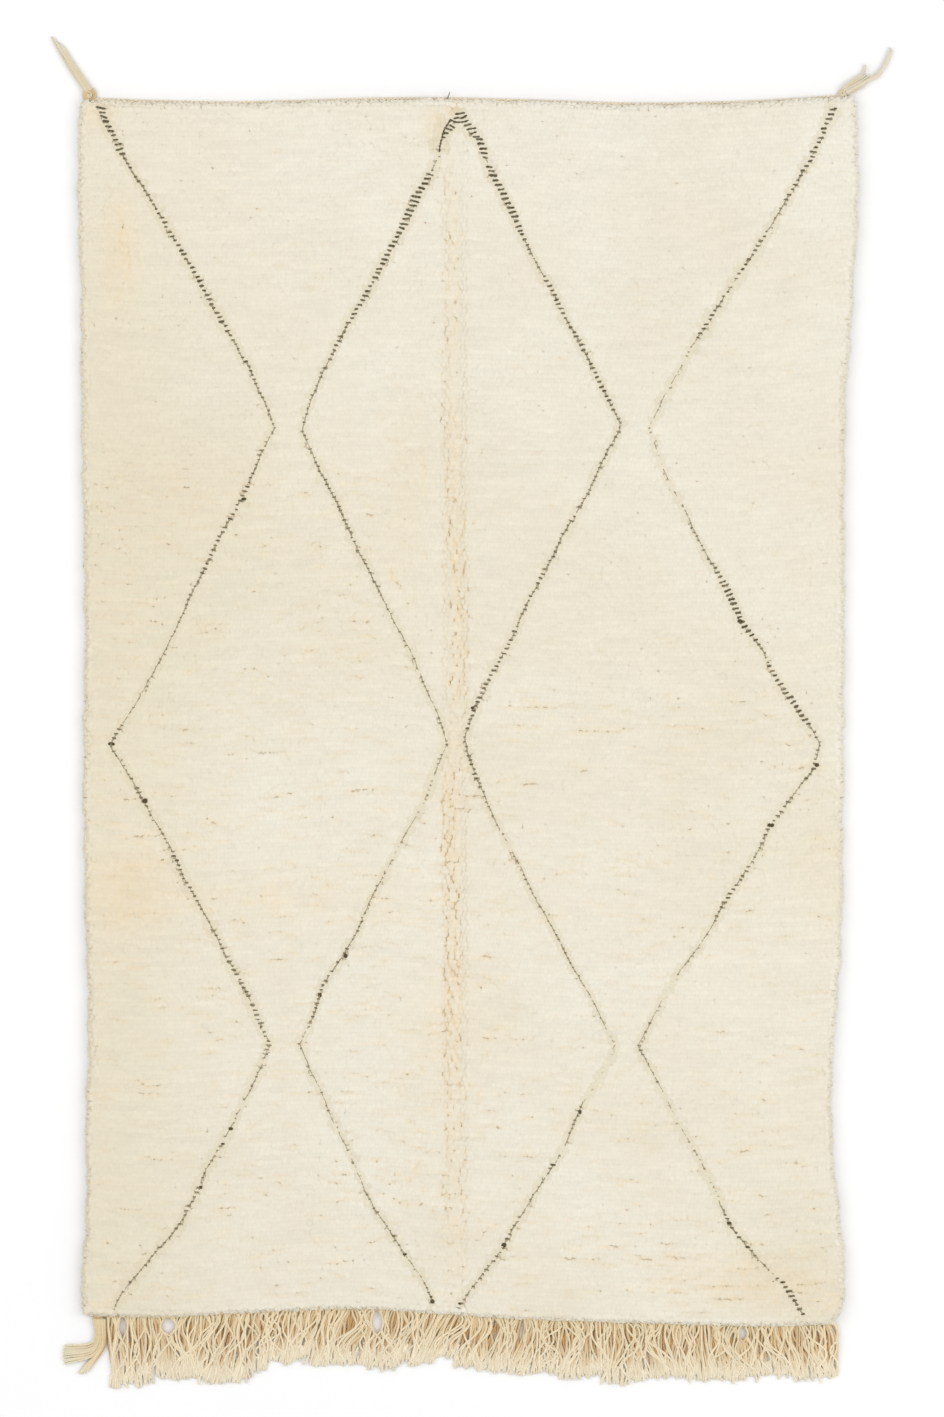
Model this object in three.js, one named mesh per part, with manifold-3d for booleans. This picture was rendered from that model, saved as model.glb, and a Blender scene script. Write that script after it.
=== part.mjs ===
// A hand-knotted wool pile rug lying flat: cream pile, a tan braid along its top end, a yarn tie at
// each top corner, and a warp fringe with a corner tassel at its bottom end.
// Millimetres. The rug lies on z = 0, +X runs to its right side and +Y to the braided end.
import * as THREE from 'three';
import { mergeVertices } from 'three/addons/utils/BufferGeometryUtils.js';
import Module from 'manifold-3d';

const wasm = await Module();
wasm.setup();

// The clearance between neighbouring pieces
const clearance = 0.3;

// The pile body: ground weave and standing pile together, with its rounded rim
const pile_top = 23;
const rim = { foot_inset: 0.6, nose_height: 8, shoulder_inset: 3, shoulder_height: 17, crown_inset: 14 };
const lump = { height: 1.6, length: 61, width: 74, bend: 173, slant: 290, ragged: 0.9 };
const side_cells = 10;
const length_cells = 35;

// How far each long side stands from the centre line, from the fringed end to the braided one
const sides = [
  { y: -1226, left: -781, right: 732 },
  { y: -1194, left: -781, right: 741 },
  { y: -1140, left: -781, right: 748 },
  { y: -1014, left: -771, right: 737 },
  { y: -814, left: -771, right: 719 },
  { y: -614, left: -766, right: 728 },
  { y: -454, left: -771, right: 739 },
  { y: -134, left: -776, right: 743 },
  { y: 186, left: -773, right: 745 },
  { y: 586, left: -780, right: 747 },
  { y: 826, left: -781, right: 762 },
  { y: 1066, left: -787, right: 774 },
  { y: 1226, left: -782, right: 768 },
];

// How far each end stands from the middle; the top column is the braid's outer edge
const ends = [
  { x: -775, top: 1233, bottom: -1206 },
  { x: -613, top: 1227, bottom: -1210 },
  { x: -453, top: 1225, bottom: -1201 },
  { x: -213, top: 1232, bottom: -1194 },
  { x: -53, top: 1233, bottom: -1204 },
  { x: 107, top: 1229, bottom: -1214 },
  { x: 347, top: 1222, bottom: -1222 },
  { x: 587, top: 1228, bottom: -1228 },
  { x: 733, top: 1238, bottom: -1224 },
];

// The four rounded corners, by their reach along each end and each side
const corners = [
  { across: -1, along: 1, width: 10, length: 10 },
  { across: 1, along: 1, width: 16, length: 24 },
  { across: -1, along: -1, width: 20, length: 20 },
  { across: 1, along: -1, width: 22, length: 40 },
];

// The soft trough that a lengthwise fold has left in the pile
const crease = { x: -33, half_width: 30, half_floor: 12 };
const crease_depth = [
  { y: -1200, depth: 1 },
  { y: -1000, depth: 3 },
  { y: -700, depth: 5 },
  { y: -200, depth: 5 },
  { y: -60, depth: 2 },
  { y: 80, depth: 5 },
  { y: 1000, depth: 5 },
  { y: 1200, depth: 1.5 },
];

// Locks of pile that stand out of the rim, each a four-sided taper, and the row that they stand in
const lock = { root: 13, tip: 4, flatness: 0.4, length: 21, reach: 5, height: 11, lean: 0.45 };
const lock_row = { pitch: 57, wander: 9, clear_of_corner: 75, clear_of_fringe_end: 35 };

// The braid along the top end, a row of plaited bulges
const braid = { start: -751.6, end: 731.6, width: 8, height: 6.4, pitch: 12, thin: 0.82, sides: 5 };

// The fringe: the strip that its strands hang from, and the strands
const strip = { width: 9, height: 4, lip_height: 2.8, margin: 3, steps: 24 };
const fringe_ends = { left: -728, right: 722 };
const fringe_strands = 162;
const fringe_yarn = { fill: 0.62, widest: 5.4, tip: 0.62, rise: 0.72, steps: 4 };
const fringe_wave = { curl: 1.3, sway: 0.09, turn: 7, ragged: 7 };

// How far each part of the fringe leans to the right by its tips, and how long it is
const fringe_lie = [
  { x: -730, lean: 6, length: 142 },
  { x: -650, lean: 5, length: 130 },
  { x: -600, lean: 9, length: 110 },
  { x: -553, lean: -8, length: 128 },
  { x: -483, lean: -36, length: 134 },
  { x: -403, lean: -8, length: 114 },
  { x: -283, lean: -24, length: 102 },
  { x: -173, lean: -8, length: 112 },
  { x: -123, lean: -18, length: 106 },
  { x: -43, lean: -44, length: 94 },
  { x: 37, lean: -14, length: 100 },
  { x: 87, lean: -24, length: 106 },
  { x: 177, lean: -8, length: 108 },
  { x: 257, lean: 0, length: 110 },
  { x: 457, lean: 16, length: 103 },
  { x: 537, lean: 6, length: 100 },
  { x: 637, lean: 18, length: 103 },
  { x: 722, lean: 12, length: 100 },
];

// Lens-shaped gaps where the strands part and close again
const fringe_gaps = [
  { x: -697, half_width: 4 },
  { x: -605, half_width: 9 },
  { x: -191, half_width: 7 },
  { x: 149, half_width: 5 },
  { x: 299, half_width: 5 },
  { x: 543, half_width: 6 },
];
const gap_lens = { length: 0.62, spread: 26 };

// The knotted heads and the yarns of the two ties and the corner tassel, each yarn by its own route
const tie_yarn = { width: 4.4, tip: 0.62, rise: 0.8, steps: 7 };
const knot_sides = 10;
const knot_profile = [
  { out: 0, up: 0 },
  { out: 0.82, up: 0 },
  { out: 1, up: 0.42 },
  { out: 0.7, up: 0.9 },
  { out: 0, up: 1 },
];
const tufts_of_yarn = [
  {
    name: 'left_tie',
    knot: { x: -766, y: 1238, half_width: 14, half_depth: 13.5, height: 12 },
    routes: [
      [[-772, 1242], [-812, 1303], [-839, 1352]],
      [[-768, 1244], [-808, 1306], [-833, 1348]],
      [[-764, 1246], [-801, 1304], [-823, 1341]],
      [[-760, 1248], [-790, 1296], [-812, 1334]],
    ],
  },
  {
    name: 'right_tie',
    knot: { x: 743, y: 1240.6, half_width: 11, half_depth: 11.5, height: 11 },
    routes: [
      [[752, 1240], [772, 1249], [788, 1259]],
      [[750, 1243], [771, 1255], [796, 1270], [809, 1276], [825, 1298], [838, 1330]],
      [[747, 1246], [768, 1260], [793, 1275]],
      [[743, 1250], [765, 1265], [782, 1276], [788, 1295]],
    ],
  },
  {
    name: 'corner_tassel',
    knot: { x: -747.5, y: -1210.8, half_width: 12, half_depth: 6.6, height: 5.5 },
    routes: [
      [[-757, -1212], [-759, -1246], [-773, -1263], [-816, -1267]],
      [[-753, -1213], [-754, -1250], [-768, -1273], [-818, -1281]],
      [[-749, -1213], [-749, -1254], [-763, -1283], [-818, -1295]],
      [[-745, -1213], [-744, -1257], [-757, -1291], [-813, -1308]],
      [[-741, -1213], [-739.5, -1260], [-751, -1298], [-791, -1321]],
      [[-737.5, -1212], [-735, -1263], [-745, -1304], [-780, -1327]],
    ],
  },
];

const finishes = {
  cream_pile: new THREE.MeshStandardMaterial({ color: 0xece5d2, roughness: 1, metalness: 0 }),
  tan_wool: new THREE.MeshStandardMaterial({ color: 0xd0b488, roughness: 0.95, metalness: 0 }),
  fringe_wool: new THREE.MeshStandardMaterial({ color: 0xdccaa2, roughness: 0.95, metalness: 0 }),
};

const { clamp, lerp } = THREE.MathUtils;

// A repeatable number from 0 to 1 for the nth draw of a family of draws
function chance(family, n) {
  const wave = Math.sin(family * 78.233 + n * 12.9898) * 43758.5453;
  return wave - Math.floor(wave);
}

// Reads a column of a table between its rows, on a smooth curve through them
function read(rows, key, column, place) {
  const last = rows.length - 1;
  const at = clamp(place, rows[0][key], rows[last][key]);
  let i = 0;
  while (i < last - 1 && at > rows[i + 1][key]) i += 1;
  const slope = (j) => {
    const before = rows[Math.max(j - 1, 0)];
    const after = rows[Math.min(j + 1, last)];
    return (after[column] - before[column]) / (after[key] - before[key]);
  };
  const span = rows[i + 1][key] - rows[i][key];
  const t = (at - rows[i][key]) / span;
  const ease = t * t * (3 - 2 * t);
  const leave = t * (1 - t) * (1 - t) * span * slope(i);
  const arrive = t * t * (1 - t) * span * slope(i + 1);
  return lerp(rows[i][column], rows[i + 1][column], ease) + leave - arrive;
}

// The slab's own edges, drawn in from the measured fuzz by half of what its locks stand out
const leftEdge = (y) => read(sides, 'y', 'left', y) + lock.reach / 2;
const rightEdge = (y) => read(sides, 'y', 'right', y) - lock.reach / 2;
const topEdge = (x) => read(ends, 'x', 'top', x) - braid.width;
const bottomEdge = (x) => read(ends, 'x', 'bottom', x) + lock.reach / 2;

// Turns points and triangles into a geometry
function geometryOf(points, triangles) {
  const geometry = new THREE.BufferGeometry();
  geometry.setAttribute('position', new THREE.Float32BufferAttribute(points.flat(), 3));
  geometry.setIndex(triangles);
  return geometry;
}

// Joins closed geometries into one
function fuse(geometries) {
  const solids = geometries.map((geometry) => {
    geometry.deleteAttribute('normal');
    geometry.deleteAttribute('uv');
    const welded = mergeVertices(geometry, 1e-4);
    return new wasm.Manifold(new wasm.Mesh({
      numProp: 3,
      vertProperties: welded.attributes.position.array,
      triVerts: new Uint32Array(welded.index.array),
    }));
  });
  const { vertProperties, triVerts } = wasm.Manifold.union(solids).getMesh();
  const joined = new THREE.BufferGeometry();
  joined.setAttribute('position', new THREE.BufferAttribute(vertProperties, 3));
  joined.setIndex(new THREE.BufferAttribute(triVerts, 1));
  return joined;
}

// A closed skin over a row of like sections, each a ring of points that turns clockwise as seen
// from the section before it
function loft(sections) {
  const count = sections[0].length;
  const triangles = [];
  for (let s = 0; s < sections.length - 1; s += 1) {
    for (let p = 0; p < count; p += 1) {
      const near = s * count + p;
      const near_next = s * count + ((p + 1) % count);
      triangles.push(near, near_next, near + count);
      triangles.push(near_next, near_next + count, near + count);
    }
  }
  const far = (sections.length - 1) * count;
  for (let p = 1; p < count - 1; p += 1) {
    triangles.push(0, p + 1, p);
    triangles.push(far, far + p, far + p + 1);
  }
  return geometryOf(sections.flat(), triangles);
}

// A tapering three-sided yarn that rests flat on the floor along its route
function yarn(route, width, tip, rise) {
  const sections = route.map((point, i) => {
    const ahead = route[Math.min(i + 1, route.length - 1)];
    const behind = route[Math.max(i - 1, 0)];
    const side = new THREE.Vector2(behind.y - ahead.y, ahead.x - behind.x).normalize();
    const wide = width * lerp(1, tip, i / (route.length - 1));
    const left = point.clone().addScaledVector(side, wide / 2);
    const right = point.clone().addScaledVector(side, -wide / 2);
    return [[right.x, right.y, 0], [left.x, left.y, 0], [point.x, point.y, wide * rise]];
  });
  return loft(sections);
}

// The height of the pile's crown: low lumps, and the crease along the old fold
function crownHeight(x, y) {
  const sway = Math.sin(x / lump.length + 1.3 * Math.sin(y / lump.bend));
  const roll = Math.sin(y / lump.width + x / lump.slant);
  const ragged = chance(1, Math.round(x) + 3 * Math.round(y)) - 0.5;
  const across = Math.abs(x - crease.x);
  const share = clamp((crease.half_width - across) / (crease.half_width - crease.half_floor), 0, 1);
  const trough = share > 0 ? share * read(crease_depth, 'y', 'depth', y) : 0;
  return pile_top + lump.height * sway * roll + lump.ragged * ragged - trough;
}

// Divides each stretch between neighbouring stops into its count of equal cells
function divide(stops, counts) {
  const places = [stops[0]];
  counts.forEach((count, i) => {
    for (let k = 1; k <= count; k += 1) places.push(lerp(stops[i], stops[i + 1], k / count));
  });
  return places;
}

// Draws a point near a square corner in to the rounded one
function roundCorner(x, y) {
  let [round_x, round_y] = [x, y];
  for (const corner of corners) {
    const edge_x = corner.across < 0 ? leftEdge(y) : rightEdge(y);
    const edge_y = corner.along < 0 ? bottomEdge(x) : topEdge(x);
    const p = 1 - (corner.across * (edge_x - x)) / corner.width;
    const q = 1 - (corner.along * (edge_y - y)) / corner.length;
    if (p > 0 && q > 0) {
      round_x -= corner.across * corner.width * p * (1 - Math.sqrt(1 - (q * q) / 2));
      round_y -= corner.along * corner.length * q * (1 - Math.sqrt(1 - (p * p) / 2));
    }
  }
  return [round_x, round_y];
}

// The slab of ground and pile: a net of cells over its crown and shoulders, a wall and a flat sole
function pileSlab() {
  const { shoulder_inset: shoulder, crown_inset: crown } = rim;
  const widths = (y) => {
    const [left, right] = [leftEdge(y), rightEdge(y)];
    const lips = [crease.x - crease.half_width, crease.x - crease.half_floor];
    const far_lips = [crease.x + crease.half_floor, crease.x + crease.half_width];
    const stops = [left, left + shoulder, left + crown, ...lips, ...far_lips];
    stops.push(right - crown, right - shoulder, right);
    return divide(stops, [1, 1, side_cells, 1, 1, 1, side_cells, 1, 1]);
  };
  const lengths = (x) => {
    const [low, high] = [bottomEdge(x), topEdge(x)];
    const stops = [low, low + shoulder, low + crown, high - crown, high - shoulder, high];
    return divide(stops, [1, 1, length_cells, 1, 1]);
  };
  const columns = widths(0).length;
  const rows = lengths(0).length;
  const points = [];
  const triangles = [];
  for (let j = 0; j < rows; j += 1) {
    for (let i = 0; i < columns; i += 1) {
      const y = lengths(widths(0)[i])[j];
      const x = widths(y)[i];
      const ring = Math.min(i, j, columns - 1 - i, rows - 1 - j);
      const height = [rim.nose_height, rim.shoulder_height][ring] ?? crownHeight(x, y);
      points.push([...roundCorner(x, y), height]);
    }
  }
  const at = (i, j) => j * columns + i;
  for (let j = 0; j < rows - 1; j += 1) {
    for (let i = 0; i < columns - 1; i += 1) {
      triangles.push(at(i, j), at(i + 1, j), at(i + 1, j + 1));
      triangles.push(at(i, j), at(i + 1, j + 1), at(i, j + 1));
    }
  }

  const nose = [];
  for (let i = 0; i < columns - 1; i += 1) nose.push(at(i, 0));
  for (let j = 0; j < rows - 1; j += 1) nose.push(at(columns - 1, j));
  for (let i = columns - 1; i > 0; i -= 1) nose.push(at(i, rows - 1));
  for (let j = rows - 1; j > 0; j -= 1) nose.push(at(0, j));
  const foot = nose.map((point, n) => {
    const after = points[nose[(n + 1) % nose.length]];
    const before = points[nose[(n + nose.length - 1) % nose.length]];
    const inward = new THREE.Vector2(before[1] - after[1], after[0] - before[0]).setLength(rim.foot_inset);
    return new THREE.Vector2(points[point][0], points[point][1]).add(inward);
  });
  const first = points.length;
  foot.forEach((point) => points.push([point.x, point.y, 0]));
  nose.forEach((point, n) => {
    const next = (n + 1) % nose.length;
    triangles.push(point, first + n, first + next, point, first + next, nose[next]);
  });
  THREE.ShapeUtils.triangulateShape(foot, []).forEach(([a, b, c]) => {
    triangles.push(first + a, first + c, first + b);
  });
  return geometryOf(points, triangles);
}

// One lock of pile with its root in the rim at x, y, pointing out along an angle
function rimLock(x, y, angle, n) {
  const size = lerp(0.8, 1.15, chance(2, n));
  const shape = new THREE.CylinderGeometry(lock.tip, lock.root * size, lock.length, 4, 1);
  shape.rotateY(Math.PI / 4);
  shape.scale(1, 1, lock.flatness);
  shape.translate(0, lock.reach * size - lock.length / 2, 0);
  shape.rotateZ(angle - Math.PI / 2);
  shape.translate(x, y, lock.height + lerp(-1, 2, chance(3, n)));
  return shape;
}

// The locks down both long sides, where the pile falls towards the fringe, and along the fringed end
function rimLocks() {
  const locks = [];
  const low = sides[0].y + lock_row.clear_of_corner;
  const high = sides.at(-1).y - lock_row.clear_of_corner;
  for (let y = low; y < high; y += lock_row.pitch) {
    const place = y + lock_row.wander * lerp(-1, 1, chance(4, locks.length));
    const lean = lock.lean * lerp(0.6, 1.4, chance(5, locks.length));
    locks.push(rimLock(leftEdge(place), place, Math.PI + lean, locks.length));
    locks.push(rimLock(rightEdge(place), place, -lean, locks.length));
  }
  const first = fringe_ends.left + lock_row.clear_of_fringe_end;
  const last = fringe_ends.right - lock_row.clear_of_fringe_end;
  for (let x = first; x < last; x += lock_row.pitch) {
    const lean = lock.lean * lerp(-0.8, 0.8, chance(5, locks.length));
    locks.push(rimLock(x, bottomEdge(x), lean - Math.PI / 2, locks.length));
  }
  return locks;
}

// The braid: five-sided sections along the top end, every other one a plaited bulge
function topBraid() {
  const steps = Math.round((braid.end - braid.start) / braid.pitch);
  const sole = Math.cos(Math.PI / braid.sides);
  const sections = [];
  for (let s = 0; s <= steps; s += 1) {
    const x = lerp(braid.start, braid.end, s / steps);
    const bulge = s % 2 ? 1 : braid.thin;
    const [half, height] = [((braid.width - clearance) / 2) * bulge, braid.height * bulge];
    const middle = topEdge(x) + clearance + half;
    const ring = [];
    for (let p = 0; p < braid.sides; p += 1) {
      const turn = (2 * Math.PI * p) / braid.sides + Math.PI / 2;
      const lift = (Math.sin(turn) + sole) / (1 + sole);
      ring.push([x, middle + half * Math.cos(turn), height * Math.max(lift, 0)]);
    }
    sections.push(ring);
  }
  return loft(sections);
}

// How far a strand steps aside for the lens-shaped gaps, at a share of its length
function stepAside(x, share) {
  const lens = Math.sin(Math.PI * clamp(share / gap_lens.length, 0, 1));
  return fringe_gaps.reduce((aside, gap) => {
    const off = x - gap.x;
    return aside + Math.sign(off) * gap.half_width * Math.exp(-Math.abs(off) / gap_lens.spread) * lens;
  }, 0);
}

// Where the nth strand of the fringe runs, at a share of its length
function strandPlace(n, share) {
  const x = lerp(fringe_ends.left, fringe_ends.right, n / (fringe_strands - 1));
  const lean = read(fringe_lie, 'x', 'lean', x) * share ** fringe_wave.curl;
  return x + lean + stepAside(x, share);
}

// The room from the nth strand's middle line to its neighbours', at a share of its length
function strandRoom(n, share) {
  const inner = clamp(n, 1, fringe_strands - 2);
  return (strandPlace(inner + 1, share) - strandPlace(inner - 1, share)) / 2;
}

// The narrow strip along the rug's end, from which the fringe hangs
function fringeStrip() {
  const sections = [];
  for (let s = 0; s <= strip.steps; s += 1) {
    const x = lerp(fringe_ends.left - strip.margin, fringe_ends.right + strip.margin, s / strip.steps);
    const inner = bottomEdge(x) - clearance;
    const outer = inner - strip.width;
    sections.push([
      [x, inner, 0],
      [x, inner, strip.height],
      [x, outer, strip.lip_height],
      [x, outer, 0],
    ]);
  }
  return loft(sections);
}

// One warp yarn of the fringe, lying out from the strip
function fringeStrand(n) {
  const x = strandPlace(n, 0);
  const ragged = fringe_wave.ragged * lerp(-1, 0.6, chance(6, n));
  const root = bottomEdge(x) - clearance - strip.width / 2;
  const tip = bottomEdge(x) - lock.reach / 2 - read(fringe_lie, 'x', 'length', x) - ragged;
  const shares = divide([0, 1], [fringe_yarn.steps]);
  const room = Math.min(...shares.map((share) => strandRoom(n, share)));
  const route = shares.map((share) => {
    const sway = room * fringe_wave.sway * Math.sin(fringe_wave.turn * share + 2 * Math.PI * chance(7, n));
    return new THREE.Vector2(strandPlace(n, share) + sway, lerp(root, tip, share));
  });
  const width = Math.min(fringe_yarn.widest, room * fringe_yarn.fill);
  return yarn(route, width, fringe_yarn.tip, fringe_yarn.rise);
}

function warpFringe() {
  const strands = Array.from({ length: fringe_strands }, (_, n) => fringeStrand(n));
  return fuse([fringeStrip(), ...strands]);
}

// A wrapped knot that sits on the floor, turned from a profile of shares of its half width and height
function knot({ x, y, half_width, half_depth, height }) {
  const profile = knot_profile.map(({ out, up }) => new THREE.Vector2(out, up));
  const shape = new THREE.LatheGeometry(profile, knot_sides);
  shape.rotateX(Math.PI / 2);
  shape.scale(half_width, half_depth, height);
  shape.translate(x, y, 0);
  return shape;
}

// A tie or tassel: its knot, and the yarns that leave it along their routes
function knottedYarns({ knot: head, routes }) {
  const strands = routes.map((route) => {
    const curve = new THREE.SplineCurve(route.map(([x, y]) => new THREE.Vector2(x, y)));
    return yarn(curve.getSpacedPoints(tie_yarn.steps), tie_yarn.width, tie_yarn.tip, tie_yarn.rise);
  });
  return fuse([knot(head), ...strands]);
}

function piece(name, geometry, finish) {
  const mesh = new THREE.Mesh(geometry, finish);
  mesh.name = name;
  return mesh;
}

const rug = new THREE.Group();
rug.add(piece('rug_pile_body', fuse([pileSlab(), ...rimLocks()]), finishes.cream_pile));
rug.add(piece('top_end_braid', topBraid(), finishes.tan_wool));
rug.add(piece('fringe', warpFringe(), finishes.fringe_wool));
for (const tuft of tufts_of_yarn) {
  rug.add(piece(tuft.name, knottedYarns(tuft), finishes.fringe_wool));
}

export default rug;
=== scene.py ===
# A hand-knotted cream wool pile rug, laid flat: dark zigzag lines, a plaited top end with corner
# ties, and a warp fringe with a corner tassel. Sizes are in millimetres, made into metres where a
# mesh is made. +X runs to the rug's right side, +Y to its plaited end, and it lies on z = 0.
import math

import bpy
import numpy as np
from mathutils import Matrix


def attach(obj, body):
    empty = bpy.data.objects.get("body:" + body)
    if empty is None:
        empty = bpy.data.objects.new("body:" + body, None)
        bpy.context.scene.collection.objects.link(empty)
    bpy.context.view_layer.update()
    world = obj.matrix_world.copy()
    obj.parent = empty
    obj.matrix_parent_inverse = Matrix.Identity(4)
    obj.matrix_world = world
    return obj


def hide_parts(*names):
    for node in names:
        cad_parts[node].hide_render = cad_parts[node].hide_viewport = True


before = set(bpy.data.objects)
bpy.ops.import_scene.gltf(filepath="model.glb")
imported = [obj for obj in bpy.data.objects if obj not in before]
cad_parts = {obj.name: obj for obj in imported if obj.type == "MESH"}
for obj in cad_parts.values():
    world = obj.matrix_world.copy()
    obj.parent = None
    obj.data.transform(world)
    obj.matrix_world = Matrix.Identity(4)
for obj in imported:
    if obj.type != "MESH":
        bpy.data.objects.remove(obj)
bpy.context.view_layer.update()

millimetre = 0.001


# The view. A camera looks straight down, as the rug was photographed; its picture is 2834 mm high
# at the level of the pile.
seen_height = 2834
seen_middle = (1, 9)
lens_length = 250
sensor_height = 36
pile_top = 23

view = bpy.data.cameras.new("overhead_view")
view.sensor_fit = "VERTICAL"
view.sensor_height = sensor_height
view.lens = lens_length
camera = bpy.data.objects.new("overhead_view", view)
camera_height = pile_top + seen_height * lens_length / sensor_height
camera.location = [place * millimetre for place in (*seen_middle, camera_height)]
bpy.context.scene.collection.objects.link(camera)
bpy.context.scene.camera = camera


# The ground weave. A firm cloth of wool warp and weft, 3 mm thick, in which every row of knots is
# tied. It lies flat on the floor; from above it shows only at the roots of the pile, and from below
# each knot shows as a small pad.
ground = {"thickness": 3, "inset": 9, "columns": 30, "rows": 48}
slab_inset = 2.5
braid_width = 8


def table(columns, *rows):
    """A short table as named columns, sorted by its first one."""
    return dict(zip(columns.split(), np.array(sorted(rows), float).T))


# How far each long side stands from the centre line
sides = table(
    "y left right",
    (-1226, -781, 732), (-1194, -781, 741), (-1140, -781, 748), (-1014, -771, 737),
    (-814, -771, 719), (-614, -766, 728), (-454, -771, 739), (-134, -776, 743), (186, -773, 745),
    (586, -780, 747), (826, -781, 762), (1066, -787, 774), (1226, -782, 768),
)

# How far each end stands from the middle
ends = table(
    "x top bottom",
    (-775, 1233, -1206), (-613, 1227, -1210), (-453, 1225, -1201), (-213, 1232, -1194),
    (-53, 1233, -1204), (107, 1229, -1214), (347, 1222, -1222), (587, 1228, -1228),
    (733, 1238, -1224),
)

# The rounded corners, by their reach along each end and each side
corners = table(
    "across along width length",
    (-1, -1, 12, 12), (-1, 1, 10, 10), (1, -1, 22, 40), (1, 1, 10, 12),
)


def read(rows, key, column, places):
    """A column of a table at some places of its key column, on a smooth curve through the rows."""
    at, value = rows[key], rows[column]
    last = len(at) - 1
    places = np.clip(places, at[0], at[last])
    i = np.clip(np.searchsorted(at, places, side="right") - 1, 0, last - 1)
    before = np.maximum(np.arange(last + 1) - 1, 0)
    after = np.minimum(np.arange(last + 1) + 1, last)
    slope = (value[after] - value[before]) / (at[after] - at[before])
    span = at[i + 1] - at[i]
    t = (places - at[i]) / span
    level = value[i] + (value[i + 1] - value[i]) * t * t * (3 - 2 * t)
    return level + t * (1 - t) * span * ((1 - t) * slope[i] - t * slope[i + 1])


# The hand-woven sides swell and draw in a little from one stretch of rows to the next
side_swell = {"long": 1.6, "short": 0.9}


def swell(y, start):
    long_wave = side_swell["long"] * np.sin(y / 19 + start + np.sin(y / 41))
    return long_wave + side_swell["short"] * np.sin(y / 7 + 2 * start)


def left_edge(y, inset=0):
    return read(sides, "y", "left", y) + slab_inset + inset + swell(y, 0)


def right_edge(y, inset=0):
    return read(sides, "y", "right", y) - slab_inset - inset + swell(y, 2)


def top_edge(x, inset=0):
    return read(ends, "x", "top", x) - braid_width - inset


def bottom_edge(x, inset=0):
    return read(ends, "x", "bottom", x) + slab_inset + inset


def blend(low, high, share):
    return low + (high - low) * share


def place_in_rug(u, v, inset):
    """Where a share of the width and a share of the length fall, with the corners rounded."""
    x = blend(left_edge(0), right_edge(0), u)
    for _ in range(3):
        y = blend(bottom_edge(x, inset), top_edge(x, inset), v)
        x = blend(left_edge(y, inset), right_edge(y, inset), u)
    for across, along, width, length in zip(*corners.values()):
        edge_x = left_edge(y, inset) if across < 0 else right_edge(y, inset)
        edge_y = bottom_edge(x, inset) if along < 0 else top_edge(x, inset)
        p = np.clip(1 - across * (edge_x - x) / width, 0, 1)
        q = np.clip(1 - along * (edge_y - y) / length, 0, 1)
        x = x - across * width * p * (1 - np.sqrt(1 - q * q / 2))
        y = y - along * length * q * (1 - np.sqrt(1 - p * p / 2))
    return x, y


def linear(colour):
    """An sRGB hex value as the linear colour that a shader takes."""
    parts = [int(colour[i : i + 2], 16) / 255 for i in (0, 2, 4)]
    return [p / 12.92 if p <= 0.04045 else ((p + 0.055) / 1.055) ** 2.4 for p in parts] + [1]


def feed(node, inputs):
    """Gives a node's inputs their values, or the sockets that feed them."""
    for name, value in inputs.items():
        if isinstance(value, bpy.types.NodeSocket):
            node.id_data.links.new(value, node.inputs[name])
        else:
            node.inputs[name].default_value = value


def add_node(material, kind, output, inputs=None, **settings):
    """Adds a shader node with its settings and inputs, and gives back one of its outputs."""
    node = material.node_tree.nodes.new("ShaderNode" + kind)
    for name, value in settings.items():
        setattr(node, name, value)
    feed(node, inputs or {})
    return node.outputs[output]


def start_finish(name, roughness, specular, sheen=0.0):
    """A new material and its Principled shader."""
    material = bpy.data.materials.new(name)
    material.use_nodes = True
    shader = material.node_tree.nodes["Principled BSDF"]
    feed(shader, {"Roughness": roughness, "Specular IOR Level": specular, "Sheen Weight": sheen})
    return material, shader


def make_piece(name, material, points, triangles, fields=None, uv=None):
    """A smooth mesh from points in millimetres, with named values at its points."""
    mesh = bpy.data.meshes.new(name)
    mesh.vertices.add(len(points))
    mesh.vertices.foreach_set("co", (points * millimetre).astype(np.float32).ravel())
    mesh.loops.add(triangles.size)
    mesh.loops.foreach_set("vertex_index", triangles.astype(np.int32).ravel())
    mesh.polygons.add(len(triangles))
    mesh.polygons.foreach_set("loop_start", np.arange(0, triangles.size, 3, dtype=np.int32))
    mesh.polygons.foreach_set("use_smooth", np.ones(len(triangles), bool))
    mesh.update(calc_edges=True)
    for field, values in (fields or {}).items():
        layer = mesh.attributes.new(field, "FLOAT", "POINT")
        layer.data.foreach_set("value", np.full(len(points), values, np.float32))
    if uv is not None:
        layer = mesh.uv_layers.new(name="OFBake")
        layer.data.foreach_set("uv", uv.astype(np.float32).ravel())
    mesh.materials.append(material)
    piece = bpy.data.objects.new(name, mesh)
    bpy.context.scene.collection.objects.link(piece)
    return piece


def slab(x, y, low, high):
    """Points and triangles of a slab over a net of places, from a low level up to a high one."""
    nets = [np.stack([x, y, np.broadcast_to(level, x.shape)], 2) for level in (low, high)]
    index = np.arange(x.size).reshape(x.shape)
    a, b, c, d = index[:-1, :-1], index[:-1, 1:], index[1:, 1:], index[1:, :-1]
    net = np.stack([a, b, c, a, c, d], 2).reshape(-1, 3)
    rim = np.concatenate([index[0], index[1:, -1], index[-1, -2::-1], index[-2:0:-1, 0]])
    after = np.roll(rim, -1)
    up = x.size
    wall = np.stack([rim, after, after + up, rim, after + up, rim + up], 1).reshape(-1, 3)
    return np.reshape(nets, (-1, 3)), np.concatenate([net[:, ::-1], net + up, wall])


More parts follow.
